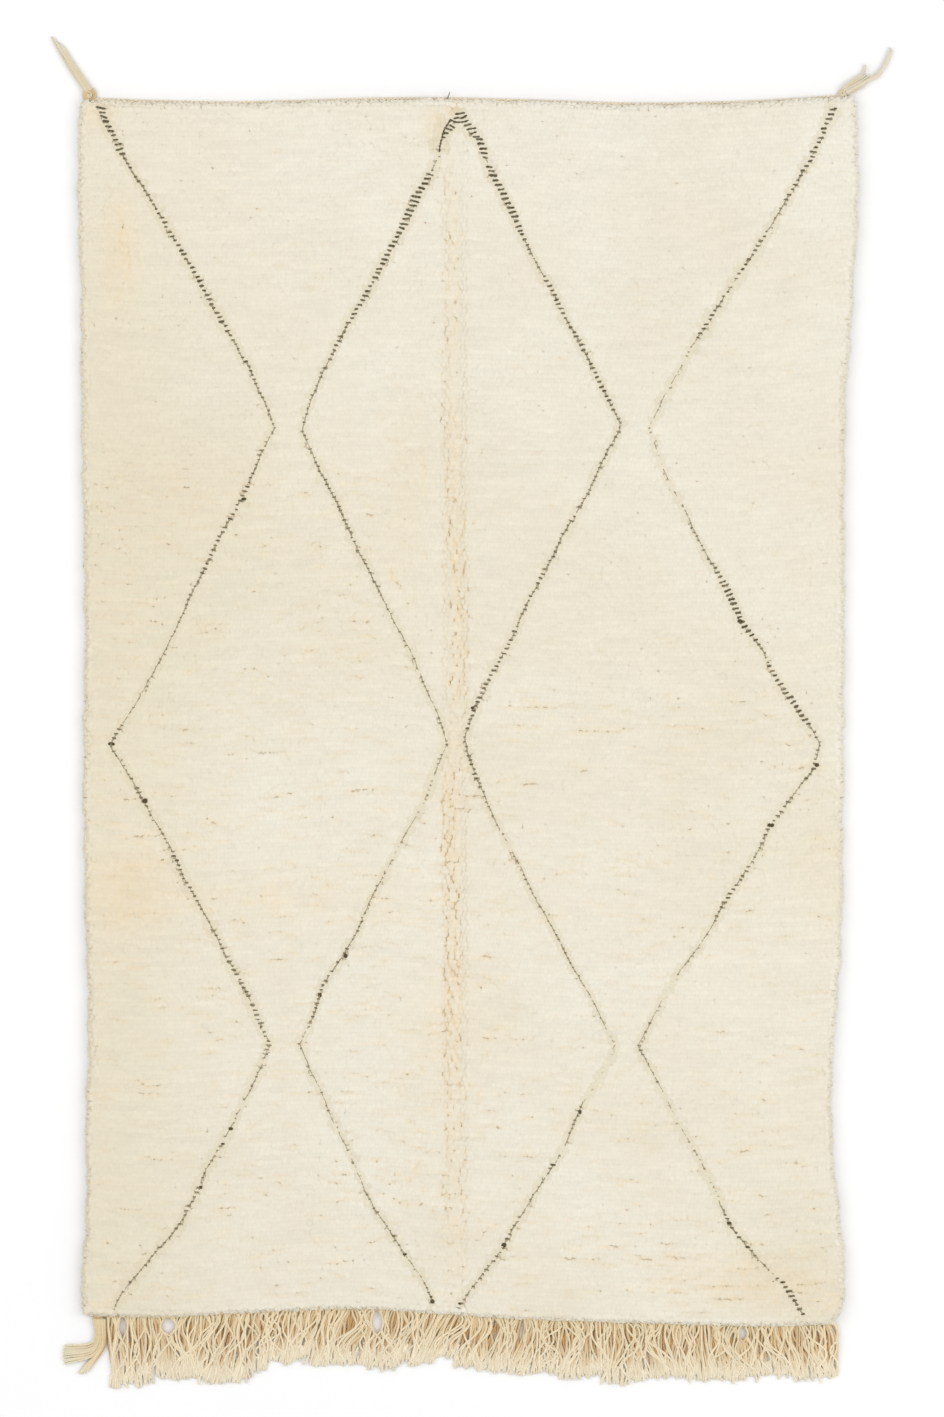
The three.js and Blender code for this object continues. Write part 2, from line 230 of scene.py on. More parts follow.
# Plain-woven wool, off-white and matt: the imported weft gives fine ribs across, and below, the
# knots' backs stand in rows 8.9 mm apart
knot_pitch = 7.5
row_pitch = 8.9
weft_pitch = 1.5
rib_scale = 0.314 / (weft_pitch * millimetre)
weave_wool, shader = start_finish("woven_wool_ground", 0.95, 0.2, sheen=0.2)
place = add_node(weave_wool, "TexCoord", "Object")
scale = (1 / (knot_pitch * millimetre), 1 / (row_pitch * millimetre), 1)
cells = add_node(weave_wool, "Mapping", "Vector", {"Vector": place, "Scale": scale})
pads = add_node(
    weave_wool, "TexVoronoi", "Distance", {"Vector": cells, "Scale": 1.0, "Randomness": 0.35},
    voronoi_dimensions="2D",
)
ribs = add_node(
    weave_wool, "TexWave", "Fac",
    {"Vector": place, "Scale": rib_scale, "Distortion": 1.2, "Detail": 1.0}, bands_direction="Y",
)
shade = add_node(
    weave_wool, "Mix", "Result", {"Factor": pads, "A": linear("efe6d2"), "B": linear("cdb894")},
    data_type="RGBA",
)
knot_backs = add_node(
    weave_wool, "Bump", "Normal", {"Height": pads, "Strength": 0.8, "Distance": 1.2 * millimetre},
    invert=True,
)
weft_ribs = add_node(
    weave_wool, "Bump", "Normal",
    {"Height": ribs, "Strength": 0.5, "Distance": 0.4 * millimetre, "Normal": knot_backs},
)
feed(shader, {"Base Color": shade, "Normal": weft_ribs})

u, v = np.meshgrid(np.linspace(0, 1, ground["columns"]), np.linspace(0, 1, ground["rows"]))
x, y = place_in_rug(u, v, ground["inset"])
ground_weave = make_piece("ground_weave", weave_wool, *slab(x, y, 0, ground["thickness"]))
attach(ground_weave, "root")
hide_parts("rug_pile_body")


# The dark zigzag lines. Knots of natural dark wool, tied one or two wide in every row, that cross
# the rug in four lines and make a lattice of open diamonds. The cream pile half hides them where it
# has closed over them, so some stretches show as firm bars and others as a faint line.
knot_rows = 268
dark_depth = 2.0
line_wander = 1.4
uneven = {"turn": 6, "bar": 0.25, "open": 0.18, "x": 0.6, "y": 0.5}

# Each line's bends, with the length of its bars, how openly they lie there, from 0 to 1, and how
# many degrees they are turned from the rows
line_bends = [
    [
        (-1198, -717, 4, 0.3, 8), (-1154, -697, 5, 0.35, 8), (-1034, -591, 6, 0.45, 8),
        (-954, -547, 9, 0.6, 5), (-914, -530, 4, 0.2, 5), (-754, -442, 4, 0.2, 0),
        (-660, -402, 8, 0.5, 0), (-530, -466, 9, 0.6, -5), (-414, -528, 5, 0.4, -8),
        (-300, -589, 9, 0.7, -5), (-234, -622, 4, 0.2, -5), (-180, -653, 7, 0.6, -5),
        (-114, -693, 4, 0.2, 0), (-64, -722, 7, 0.6, 0), (6, -681, 5, 0.3, -8),
        (86, -632, 4, 0.25, -8), (326, -517, 7, 0.6, -8), (406, -472, 8, 0.7, -8),
        (570, -394, 6, 0.4, 0), (690, -443, 8, 0.7, 8), (726, -467, 5, 0.4, 10),
        (780, -497, 9, 0.8, 10), (966, -604, 8, 0.8, 8), (1086, -680, 5, 0.8, 0),
        (1110, -692, 6, 0.8, 0), (1122, -700, 13, 0.9, 12), (1150, -714, 12, 0.9, 4),
        (1180, -731, 13, 0.95, -6), (1206, -741, 16, 0.95, -14),
    ],
    [
        (-1176, -80, 6, 0.8, 5), (-1130, -98, 2, 0.1, 0), (-1082, -133, 5, 0.35, 5),
        (-994, -193, 4, 0.3, 5), (-874, -249, 3, 0.1, 0), (-714, -322, 4, 0.3, 0),
        (-660, -342, 3, 0.15, 0), (-600, -315, 6, 0.55, -5), (-550, -299, 7, 0.7, -5),
        (-480, -255, 6, 0.5, -5), (-434, -228, 5, 0.45, -5), (-314, -172, 3, 0.2, -5),
        (-194, -103, 2, 0.08, 0), (-64, -49, 5, 0.4, 0), (6, -71, 3, 0.25, 5),
        (126, -124, 4, 0.3, 5), (286, -207, 6, 0.5, 5), (446, -283, 7, 0.55, 5),
        (566, -341, 5, 0.4, 0), (686, -297, 6, 0.5, -5), (806, -230, 9, 0.8, -4),
        (926, -162, 10, 0.9, -6), (1030, -112, 15, 1, -6), (1075, -82, 13, 1, -6),
        (1090, -76, 3, 0.1, 0), (1112, -66, 3, 0.15, 0),
    ],
    [
        (-1192, -28, 8, 0.7, -5), (-1154, -4, 5, 0.35, -5), (-1074, 62, 8, 0.65, -5),
        (-1030, 82, 5, 0.4, -5), (-904, 165, 4, 0.35, -5), (-874, 182, 3, 0.15, 0),
        (-794, 217, 6, 0.5, -5), (-754, 238, 2, 0.05, 0), (-664, 288, 3, 0.1, 0),
        (-540, 222, 4, 0.35, 5), (-434, 163, 4, 0.35, 5), (-234, 58, 3, 0.2, 0),
        (-130, 8, 7, 0.65, 5), (-50, -13, 6, 0.5, 0), (10, 4, 8, 0.65, -5), (86, 47, 8, 0.6, -5),
        (286, 146, 7, 0.55, -5), (446, 235, 6, 0.5, -5), (574, 298, 6, 0.5, 0),
        (640, 268, 9, 0.85, 5), (766, 203, 7, 0.65, 8), (850, 158, 9, 0.75, 8),
        (886, 136, 5, 0.3, 8), (946, 108, 7, 0.75, 10), (990, 86, 12, 0.9, 10),
        (1094, 36, 14, 0.95, 0), (1104, 32, 3, 0, 0), (1112, 27, 13, 0.9, -20),
        (1123, 24, 13, 0.95, 6), (1133, 21, 14, 0.95, 8), (1144, 14, 15, 0.95, 3),
    ],
    [
        (-1205, 663, 9, 0.8, 12), (-1140, 624, 10, 0.85, 10), (-1122, 604, 5, 0.2, 0),
        (-1066, 551, 6, 0.5, -5), (-1034, 522, 8, 0.75, -5), (-1006, 507, 8, 0.7, -5),
        (-990, 501, 4, 0.3, 0), (-954, 488, 3, 0.12, 0), (-714, 358, 3, 0.2, 0),
        (-664, 335, 6, 0.4, 0), (-574, 379, 2, 0.1, 0), (-434, 475, 4, 0.2, -5),
        (-374, 510, 8, 0.7, -5), (-270, 577, 6, 0.4, -5), (-224, 599, 9, 0.7, -5),
        (-150, 652, 5, 0.35, -5), (-110, 688, 8, 0.8, -5), (-60, 698, 4, 0.2, 0),
        (0, 657, 11, 0.85, 16), (86, 600, 10, 0.75, 16), (130, 578, 6, 0.5, 12),
        (170, 549, 12, 0.95, 15), (270, 498, 12, 0.8, 15), (300, 480, 6, 0.5, 10),
        (446, 404, 3, 0.15, 0), (566, 353, 3, 0.2, 0), (726, 435, 3, 0.15, 0),
        (766, 464, 9, 0.8, 5), (850, 515, 7, 0.5, 5), (926, 570, 9, 0.7, 5), (976, 598, 4, 0.3, 0),
        (1050, 644, 9, 0.8, 0), (1071, 658, 7, 0.8, 0), (1090, 667, 10, 0.9, -6),
        (1099, 674, 7, 0.7, 10), (1108, 681, 13, 0.9, 3), (1128, 684, 11, 0.95, 0),
        (1142, 694, 9, 0.8, 0), (1155, 702, 12, 0.95, 0), (1174, 706, 9, 0.9, -10),
        (1183, 714, 12, 0.8, 3), (1192, 717, 11, 0.7, 3), (1206, 727, 11, 0.8, 15),
    ],
]
dark_lines = [table("y x bar open turn", *bends) for bends in line_bends]

# The bars that fan out under the point where the two middle lines meet, each from end to end
apex_bars = [
    ((-33, 1198), (-25, 1199)), ((-25, 1198), (-13, 1201)), ((-36, 1189), (-25, 1191)),
    ((-22, 1189), (-9, 1195)), ((-43, 1187), (-31, 1181)), ((-31, 1181), (-14, 1182)),
    ((-14, 1182), (-6, 1186)), ((-44, 1176), (-34, 1170)), ((-51, 1170), (-38, 1165)),
    ((-57, 1160), (-46, 1159)), ((-60, 1152), (-52, 1151)), ((-15, 1174), (0, 1178)),
    ((-10, 1166), (9, 1170)), ((-3, 1158), (10, 1162)), ((3, 1152), (17, 1153)),
    ((-42, 1187), (-51, 1173)), ((-51, 1173), (-57, 1161)), ((-57, 1161), (-60, 1147)),
    ((-60, 1147), (-63, 1136)), ((-63, 1136), (-65, 1122)),
]

# Clumps where several dark knots have come together, each with its half width and half depth
clump_open = 1.6
dark_clumps = [
    (-720, -62, 8, 4), (-653, -176, 6, 7), (-481, -832, 5, 4), (-497, -862, 4, 3),
    (-303, -564, 4, 7), (-133, -1082, 5, 4), (-79, -1176, 4, 6), (-23, -1181, 4, 3),
    (65, -1064, 6, 6), (163, -904, 6, 3), (217, -798, 3, 6), (537, 184, 6, 5),
    (691, -104, 5, 5), (599, -224, 7, 5), (516, -1020, 5, 4), (553, -1068, 4, 3),
    (-251, -486, 4, 6), (3, 10, 5, 4), (-543, -948, 6, 4), (-455, 428, 6, 4),
]

# The lengthwise trough that an old fold has left in the pile
crease = {"x": -33, "half_width": 30, "half_floor": 12}
crease_depth = table(
    "y depth",
    (-1200, 1), (-1000, 3), (-700, 4.5), (-200, 4.5), (-60, 2), (80, 4), (1000, 3.5), (1200, 1),
)
lump = {"height": 1.6, "length": 61, "width": 74, "bend": 173, "slant": 290}


def crown_height(x, y):
    """The level of the pile's tips away from the rim."""
    sway = np.sin(x / lump["length"] + 1.3 * np.sin(y / lump["bend"]))
    roll = np.sin(y / lump["width"] + x / lump["slant"])
    flank = crease["half_width"] - crease["half_floor"]
    share = np.clip((crease["half_width"] - np.abs(x - crease["x"])) / flank, 0, 1)
    trough = share * read(crease_depth, "y", "depth", y)
    return pile_top + lump["height"] * sway * roll - trough


# The tufts' shape: each fans out from its knot to a belly and closes in a low dome
tuft_sides = 6
tuft_points = tuft_sides + 2
belly_share = 0.95
crown_up = 2
least_height = 0.4
side_steps = [(k, (k + 1) % tuft_sides) for k in range(tuft_sides)]
tuft_faces = np.array(
    [[0, 1 + after, 1 + k] for k, after in side_steps]
    + [[1 + k, 1 + after, tuft_sides + 1] for k, after in side_steps]
)


def turned(along, across, angle):
    """A pair of directions or distances, along and across, in the axes turned by an angle."""
    cos, sin = np.cos(angle), np.sin(angle)
    return along * cos + across * sin, across * cos - along * sin


def copies(triangles, count, points):
    """The triangles of many copies of a small shape, which has so many points."""
    return (triangles[None] + np.arange(count)[:, None, None] * points).reshape(-1, 3)


def grow_tufts(root, tip, wide, deep, turn):
    """Points and triangles of many tufts at once; wide and deep are half sizes at the belly."""
    axis = tip - root
    up = axis / np.linalg.norm(axis, axis=1, keepdims=True) + [0, 0, crown_up]
    up /= np.linalg.norm(up, axis=1, keepdims=True)
    across = np.cross([0.0, 1.0, 0.0], up)
    across /= np.linalg.norm(across, axis=1, keepdims=True)
    along = np.cross(up, across)
    long_way, short_way = turned(across, along, turn[:, None])
    ring = []
    for k in range(tuft_sides):
        angle = (k + 0.5) * 2 * math.pi / tuft_sides
        out = long_way * wide[:, None] * math.cos(angle)
        out = out + short_way * deep[:, None] * math.sin(angle)
        ring.append(root + axis * belly_share + out)
    points = np.stack([root, *ring, tip], 1).reshape(-1, 3)
    points[:, 2] = np.maximum(points[:, 2], least_height)
    return points, copies(tuft_faces, len(root), tuft_points)


def join(parts):
    """Several meshes, each with the same named values, as one."""
    starts = np.cumsum([0] + [len(points) for points, _, _ in parts])
    points = np.concatenate([part[0] for part in parts])
    triangles = np.concatenate([part[1] + start for part, start in zip(parts, starts)])
    fields = {name: np.concatenate([part[2][name] for part in parts]) for name in parts[0][2]}
    return points, triangles, fields


# Undyed dark sheep's wool, spun and cut as the cream is: matt, dark brown where a knot lies open,
# and paler where it is half hidden and its fibres mix with the cream ones
dark_wool, shader = start_finish("dark_sheep_wool", 0.9, 0.15, sheen=0.15)
place = add_node(dark_wool, "TexCoord", "Object")
fibre = add_node(dark_wool, "TexNoise", "Fac", {"Vector": place, "Scale": 700.0, "Detail": 2.0})
tone = add_node(dark_wool, "Attribute", "Fac", attribute_name="tone")
mixed = add_node(dark_wool, "Math", "Value", {0: fibre, 1: tone}, operation="ADD")
shade = add_node(
    dark_wool, "Mix", "Result", {"Factor": mixed, "A": linear("50482f"), "B": linear("a89f86")},
    data_type="RGBA",
)
fuzz = add_node(
    dark_wool, "Bump", "Normal", {"Height": fibre, "Strength": 0.6, "Distance": 0.6 * millimetre}
)
feed(shader, {"Base Color": shade, "Normal": fuzz})

# One row for each dark bar: its middle, its half length, its half depth, its turn and openness.
# Between bars that are short, a thin dark thread of half-hidden knots runs on along the line
dark_bars = []
dark_threads = []
short_bar = 3.8
faint = 0.06
draw = np.random.default_rng(11)
row_share = (np.arange(knot_rows) + 0.5) / knot_rows
pile_inset = 9
for line in dark_lines:
    phase = draw.uniform(0, 6)
    y = blend(bottom_edge(line["x"][0]), top_edge(line["x"][-1]), row_share)
    for _ in range(3):
        x = np.interp(y, line["y"], line["x"])
        y = blend(bottom_edge(x, pile_inset), top_edge(x, pile_inset), row_share)
    kept = (y >= line["y"][0] - row_pitch / 2) & (y <= line["y"][-1] + row_pitch / 2)
    turn, bar, openness = [np.interp(y, line["y"], line[key]) for key in ("turn", "bar", "open")]
    turn = np.radians(turn + draw.normal(0, uneven["turn"], knot_rows))
    bar = bar * draw.uniform(1 - uneven["bar"], 1 + uneven["bar"], knot_rows)
    openness = openness + draw.uniform(-uneven["open"], uneven["open"], knot_rows)
    x = x + line_wander * np.sin(y / 23 + phase) + draw.normal(0, uneven["x"], knot_rows)
    y = y + draw.normal(0, uneven["y"], knot_rows)
    deep = draw.uniform(0.85, 1.15, knot_rows) * dark_depth * (0.8 + 0.45 * openness)
    rows = np.stack([x, y, bar / 2, deep, turn, np.clip(openness, 0, 1)], 1)[kept]
    dark_bars.append(rows)
    for here, after in zip(rows[:-1], rows[1:]):
        if here[2] < short_bar and min(here[5], after[5]) > faint:
            thread = (here + after) / 2
            thread[4] = math.atan2(after[1] - here[1], after[0] - here[0])
            dark_threads.append(thread)
for (x0, y0), (x1, y1) in apex_bars:
    turn = math.atan2(y1 - y0, x1 - x0)
    half = math.hypot(x1 - x0, y1 - y0) / 2
    dark_bars.append([[(x0 + x1) / 2, (y0 + y1) / 2, half, dark_depth, turn, 1]])
for x, y, half_width, half_depth in dark_clumps:
    dark_bars.append([[x, y, 0.8 * half_width, 0.8 * half_depth, 0, clump_open]])
dark_bars = np.concatenate(dark_bars)

# One row for each dark tuft: its foot, its top, its height, its half width and depth, its turn and
# its shade. An open knot stands proud of the cream pile, and a half-hidden one is lower and paler
knot_size = 7
root_slant = 2
bar_knot = {"proud": 1.9, "lower": 1.6, "tone": 0.3, "darker": 0.7}
thread_knot = {"proud": 2.1, "lower": 0.8, "tone": 0.75, "darker": 0.6}
thread_half = {"width": 5.2, "depth": 0.85, "opened": 0.9}
tufts, between = [], []
for x, y, half, deep, turn, openness in dark_bars:
    number = max(1, round(2 * half / knot_size))
    closed = max(1 - openness, 0)
    for k in range(number):
        off = (k - (number - 1) / 2) * 2 * half / number
        foot_x, foot_y = x + off * math.cos(turn), y + off * math.sin(turn)
        top_x = foot_x + draw.normal(0, 0.3)
        top_y = foot_y + draw.normal(0, 0.3)
        height = crown_height(top_x, top_y) + bar_knot["proud"] - bar_knot["lower"] * closed
        height += draw.normal(0, 0.25)
        tone = bar_knot["tone"] - bar_knot["darker"] * openness + draw.uniform(-0.15, 0.15)
        tufts.append((foot_x, foot_y, top_x, top_y, height, half / number + 1, deep, turn, tone))
        between.append((foot_x, foot_y + row_pitch / 2, 3 + 1.2 * closed))
for x, y, half, deep, turn, openness in dark_threads:
    height = crown_height(x, y) + thread_knot["proud"] - thread_knot["lower"] * (1 - openness)
    height += draw.normal(0, 0.2)
    deep = thread_half["depth"] + thread_half["opened"] * openness
    tone = thread_knot["tone"] - thread_knot["darker"] * openness + draw.uniform(-0.2, 0.2)
    tufts.append((x, y, x, y, height, thread_half["width"], deep, turn, tone))
foot_x, foot_y, top_x, top_y, height, wide, deep, turn, tones = np.array(tufts).T
roots = np.stack([foot_x, foot_y + root_slant, np.full(len(tufts), ground["thickness"] - 1)], 1)
tips = np.stack([top_x, top_y, height], 1)
dark_tufts = (*grow_tufts(roots, tips, wide, deep, turn), {"tone": np.repeat(tones, tuft_points)})

# The backs of the same knots, flat pads in the underside of the weave
pad_half = {"across": 3.2, "along": 2.6, "height": 1.5, "below": -0.3}
pad_shape = np.array([[-1, -1, 0], [1, -1, 0], [1, 1, 0], [-1, 1, 0], [0, 0, 1]])
pad_shape = pad_shape * [pad_half["across"], pad_half["along"], pad_half["height"]]
pad_faces = np.array([[0, 2, 1], [0, 3, 2]] + [[k, (k + 1) % 4, 4] for k in range(4)])
pad_places = np.stack([foot_x, foot_y, np.full(len(tufts), pad_half["below"])], 1)
pad_points = (pad_places[:, None] + pad_shape[None]).reshape(-1, 3)
pad_triangles = copies(pad_faces, len(tufts), len(pad_shape))
knot_pads = (pad_points, pad_triangles, {"tone": np.zeros(len(pad_points))})
diamond_lines = make_piece("diamond_lines", dark_wool, *join([dark_tufts, knot_pads]))
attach(diamond_lines, "root")


# The pile. Some 53,000 knots of thick hand-spun cream wool, tied over the warps in rows across the
# rug, beaten down with weft and cut about 20 mm long. It leans a little towards the fringe, closes
# to an even surface, and parts along the old fold and in short slits between rows.
knots_across = 200
lean = {"down": -2, "sway": 1.4, "ragged": 0.9}
belly = {"half_width": 7.1, "half_depth": 7.8, "ragged": 0.06, "turned": 0.22}
tuft_tone = 0.7
row_tone = 1.1
tip_ragged = 0.28
tip_lift = 0.8
rim_fall = table("inset height", (0, 0.4), (4, 0.76), (9, 0.94), (16, 1))

# Partings in the pile: where each is, how long, its angle from the rows and how wide it opens
partings = [
    (131, 12, 170, 0, 0.6), (97, -24, 40, 0, 0.45), (257, -36, 164, 2, 0.45),
    (425, -24, 172, -2, 0.45), (529, 24, 60, 0, 0.52), (598, -4, 40, 0, 0.45),
    (-738, -134, 50, 0, 0.45), (113, -886, 60, 0, 0.6), (313, -934, 76, -6, 0.52),
    (409, -1088, 76, 0, 0.52), (500, -1144, 118, 0, 0.52), (-698, 956, 140, 93, 0.38),
    (-684, 900, 90, 88, 0.3), (-158, 276, 60, 115, 0.52), (-148, 262, 40, 110, 0.45),
    (-93, 486, 120, 92, 0.3), (-113, -908, 70, 65, 0.45), (-120, -930, 50, 60, 0.38),
]

# Short partings by the field they lie in: how many, their box, their mean length and opening, and
# the angle from the rows that they keep to, more or less
parting_fields = [
    (340, -770, 730, -1200, -760, 50, 0.34, 0, 9),
    (40, 100, 720, -1210, -1030, 60, 0.4, 0, 6),
    (340, -770, 80, -760, -40, 56, 0.34, 0, 7),
    (180, 80, 720, -760, -100, 50, 0.3, 0, 7),
    (40, 60, 680, -70, 50, 50, 0.3, 0, 6),
    (46, -170, 60, -1020, -620, 20, 0.4, 80, 28),
    (24, -150, 40, 200, 560, 18, 0.36, 90, 25),
    (240, -770, -200, -40, 500, 48, 0.3, 0, 9),
    (160, -770, 740, 0, 1200, 34, 0.22, 0, 12),
]

# The fold's own slits: where the middle of the trough runs and how widely they open there
fold_line = table(
    "y x open",
    (-1180, -29, 0.3), (-940, -33, 0.45), (-760, -36, 0.55), (-700, -37, 0.9),
    (-500, -37, 1), (-380, -45, 0.9), (-140, -43, 0.9), (-90, -35, 0.25), (20, -23, 0.25),
    (60, -23, 0.9), (226, -23, 0.95), (426, -33, 0.6), (626, -41, 0.4), (926, -43, 0.5),
    (1060, -45, 0.4), (1120, -47, 0.2), (1180, -55, 0.1),
)
fold_slits = {"apart": 6, "width": 34, "length": 24}


def out_of_step(number):
    """Shares from -0.5 to 0.5 that never fall into step from one number to the next."""
    return number * 0.382 % 1 - 0.5


draw = np.random.default_rng(23)
for count, x0, x1, y0, y1, length, opening, angle, spread in parting_fields:
    for _ in range(count):
        place = (draw.uniform(x0, x1), draw.uniform(y0, y1))
        size = length * draw.uniform(0.5, 1.5)
        turn = angle + draw.normal(0, spread)
        partings.append((*place, size, turn, opening * draw.uniform(0.5, 1.25)))
for number, y in enumerate(np.arange(fold_line["y"][0], fold_line["y"][-1], fold_slits["apart"])):
    x = np.interp(y, fold_line["y"], fold_line["x"]) + draw.normal(0, 2)
    x += fold_slits["width"] * out_of_step(number)
    length = fold_slits["length"] * draw.uniform(0.6, 1.6)
    opening = np.interp(y, fold_line["y"], fold_line["open"]) * draw.uniform(0.4, 1)
    partings.append((x, y, length, 90 + draw.normal(0, 8), opening))

column_share = (np.arange(knots_across) + 0.5) / knots_across
row_shift = 0.7
knot_ragged = 0.07
u, v = np.meshgrid(column_share, row_share)
along_row = row_shift * out_of_step(np.arange(knot_rows))[:, None]
u = u + (draw.normal(0, knot_ragged, u.shape) + along_row) / knots_across
v = v + draw.normal(0, knot_ragged, v.shape) / knot_rows
knot_x, knot_y = place_in_rug(u.ravel(), v.ravel(), pile_inset)

# Each row's wool changes shade a little as the spinning went on
spun_lengths = 40
level = draw.normal(0, 1, (knot_rows, spun_lengths))
ramp = np.linspace(0, spun_lengths - 1.001, knots_across)
before = ramp.astype(int)
row_shade = blend(level[:, before], level[:, before + 1], ramp % 1).ravel()

# Cream knots give way where dark ones are tied, lean over the half-hidden ones, and show between
# the dark rows
shown = np.ones(len(knot_x), bool)
crowd_y = np.zeros(len(knot_x))
crowded = np.zeros(len(knot_x), bool)
room = {"across": 1, "along": 1.6, "beside": 5}
for x, y, half, deep, turn, openness in dark_bars:
    near = np.flatnonzero((np.abs(knot_x - x) < half + 12) & (np.abs(knot_y - y) < 15))
    off_x, off_y = turned(knot_x[near] - x, knot_y[near] - y, turn)
    covered = (np.abs(off_x) < half + room["across"]) & (np.abs(off_y) < deep + room["along"])
    shown[near[covered]] = False
    beside = near[(np.abs(off_x) < half + room["beside"]) & ~covered]
    crowded[beside] = True
    side = np.sign(knot_y[beside] - y)
    crowd_y[beside] = side * (1 - 2 * max(1 - openness, 0))
between = np.array(between)
knot_x = np.concatenate([knot_x[shown], between[:, 0]])
knot_y = np.concatenate([knot_y[shown], between[:, 1]])
crowd_y = np.concatenate([crowd_y[shown], np.zeros(len(between))])
row_shade = np.concatenate([row_shade[shown], np.zeros(len(between))])
crowded = np.concatenate([crowded[shown], np.ones(len(between), bool)])
half_depth = np.full(len(knot_x), belly["half_depth"])
half_depth[-len(between) :] = between[:, 2]

# Where the wool has yellowed: each spot's middle, half width, half depth and strength
yellowed = [
    (-70, 1180, 30, 50, 0.3), (-765, 1215, 60, 45, 0.3), (-700, 930, 40, 120, 0.25),
    (-34, 1215, 16, 22, 0.8), (-130, 440, 60, 260, 0.15), (-60, -640, 120, 200, 0.15),
    (-690, -360, 110, 90, 0.3), (560, -1140, 200, 70, 0.25), (-36, 0, 34, 1150, 0.14),
    (-400, 440, 260, 160, 0.1), (100, 130, 560, 70, 0.06), (-300, -370, 420, 70, 0.12),
    (700, -290, 80, 160, 0.14), (600, -1180, 300, 60, 0.08),
]

# Where the pile is darker in broad patches, in the same terms; laid on with the painted shade's
# colour
darker_patches = [
    (-620, 330, 460, 400, 0.22), (0, 230, 760, 400, 0.12), (640, -60, 260, 420, 0.14),
    (660, -1110, 150, 170, 0.26),
]

# Each tip leans with the nap and away from the partings near it
count = len(knot_x)
tip_x = knot_x + lean["sway"] * np.sin(knot_y / 97 + 2 * np.sin(knot_x / 151))
tip_y = knot_y + lean["down"] + lean["sway"] * np.sin(knot_x / 83 + 2 * np.sin(knot_y / 127))
tip_x += draw.normal(0, lean["ragged"], count)
tip_y += draw.normal(0, lean["ragged"], count) + crowd_y
tip_y = np.where(crowded, tip_y - lean["down"], tip_y)
opened = np.zeros(count)
parting_reach = 5
parting_push = 9
parting_sink = 1.0
for x, y, length, degrees, opening in partings:
    angle = math.radians(degrees)
    near = np.flatnonzero((np.abs(knot_x - x) < length) & (np.abs(knot_y - y) < length))
    along, across = turned(knot_x[near] - x, knot_y[near] - y, angle)
    bend = 0.3 + 0.7 * abs(math.sin(angle))
    across = across + bend * (3 * np.sin(along / 9 + x) + 1.5 * np.sin(along / 4.1 + y))
    share = np.clip(1.15 - np.abs(along) / (length / 2), 0, 1)
    weight = opening * share * np.exp(-((across / parting_reach) ** 2))
    push = np.sign(across) * weight * parting_push
    tip_x[near] -= push * math.sin(angle)
    tip_y[near] += push * math.cos(angle)
    opened[near] = np.maximum(opened[near], weight)

yellowness, darkened = np.zeros(count), np.zeros(count)
for spots, amount in ((yellowed, yellowness), (darker_patches, darkened)):
    for x, y, spread_x, spread_y, strength in spots:
        off = np.hypot((knot_x - x) / spread_x, (knot_y - y) / spread_y)
        np.maximum(amount, strength * np.clip(1.3 - off, 0, 1), out=amount)
yellowness = yellowness * draw.uniform(0.6, 1.2, count)

# Stray dark fibres and painted shade darken the cream knots that press against the dark lines
beside_dark = 0.4
darkened = np.where(crowded, beside_dark, darkened)


def rim_share(x, y):
    """The share of the crown's height that its round edge leaves, by the distance to the rim."""
    across = np.minimum(x - left_edge(y), right_edge(y) - x)
    along = np.minimum(y - bottom_edge(x), top_edge(x) - y)
    return np.interp(np.minimum(across, along), rim_fall["inset"], rim_fall["height"])


tip_z = crown_height(tip_x, tip_y) * rim_share(tip_x, tip_y) + draw.normal(0, tip_ragged, count)
tip_z += tip_lift - parting_sink * opened
knot_root = np.stack([knot_x, knot_y, np.full(count, ground["thickness"] - 1.0)], 1)
knot_tip = np.stack([tip_x, tip_y, tip_z], 1)
size = 1 + draw.normal(0, belly["ragged"], count)
wide = belly["half_width"] * size
deep = half_depth * size
turn = draw.normal(0, belly["turned"], count)
tone = (draw.normal(0, tuft_tone, count) + row_tone * row_shade)[:, None]

# Painted shade on each tuft's root, belly and dome, and its share of a parting's honey colour
tuft_depth = np.array([1.0] + [0.25] * tuft_sides + [0.0])
tuft_warmth = np.array([1.0] + [1.0] * tuft_sides + [0.3])
warm = yellowness[:, None] + opened[:, None] * tuft_warmth
depth = tuft_depth + darkened[:, None]

# Undyed fleece wool, hand-spun thick and cut: matt and soft, warm white at the tips, with painted
# shade deep between the tufts, and honey coloured where the pile parts, partly from yellower wool
# near the roots and partly painted warm shade. Each tuft has its own tone, and the fleeces differ
# from patch to patch
cream_wool, shader = start_finish("cream_fleece_wool", 0.95, 0.12, sheen=0.25)
place = add_node(cream_wool, "TexCoord", "Object")
shares = {axis: add_node(cream_wool, "SeparateXYZ", axis, {"Vector": place}) for axis in "XY"}
patches = {"Vector": place, "Scale": 3.2, "Detail": 3.0, "Roughness": 0.6}
shares["patch"] = add_node(cream_wool, "TexNoise", "Fac", patches)
for field in ("warm", "depth", "tone"):
    shares[field] = add_node(cream_wool, "Attribute", "Fac", attribute_name=field)
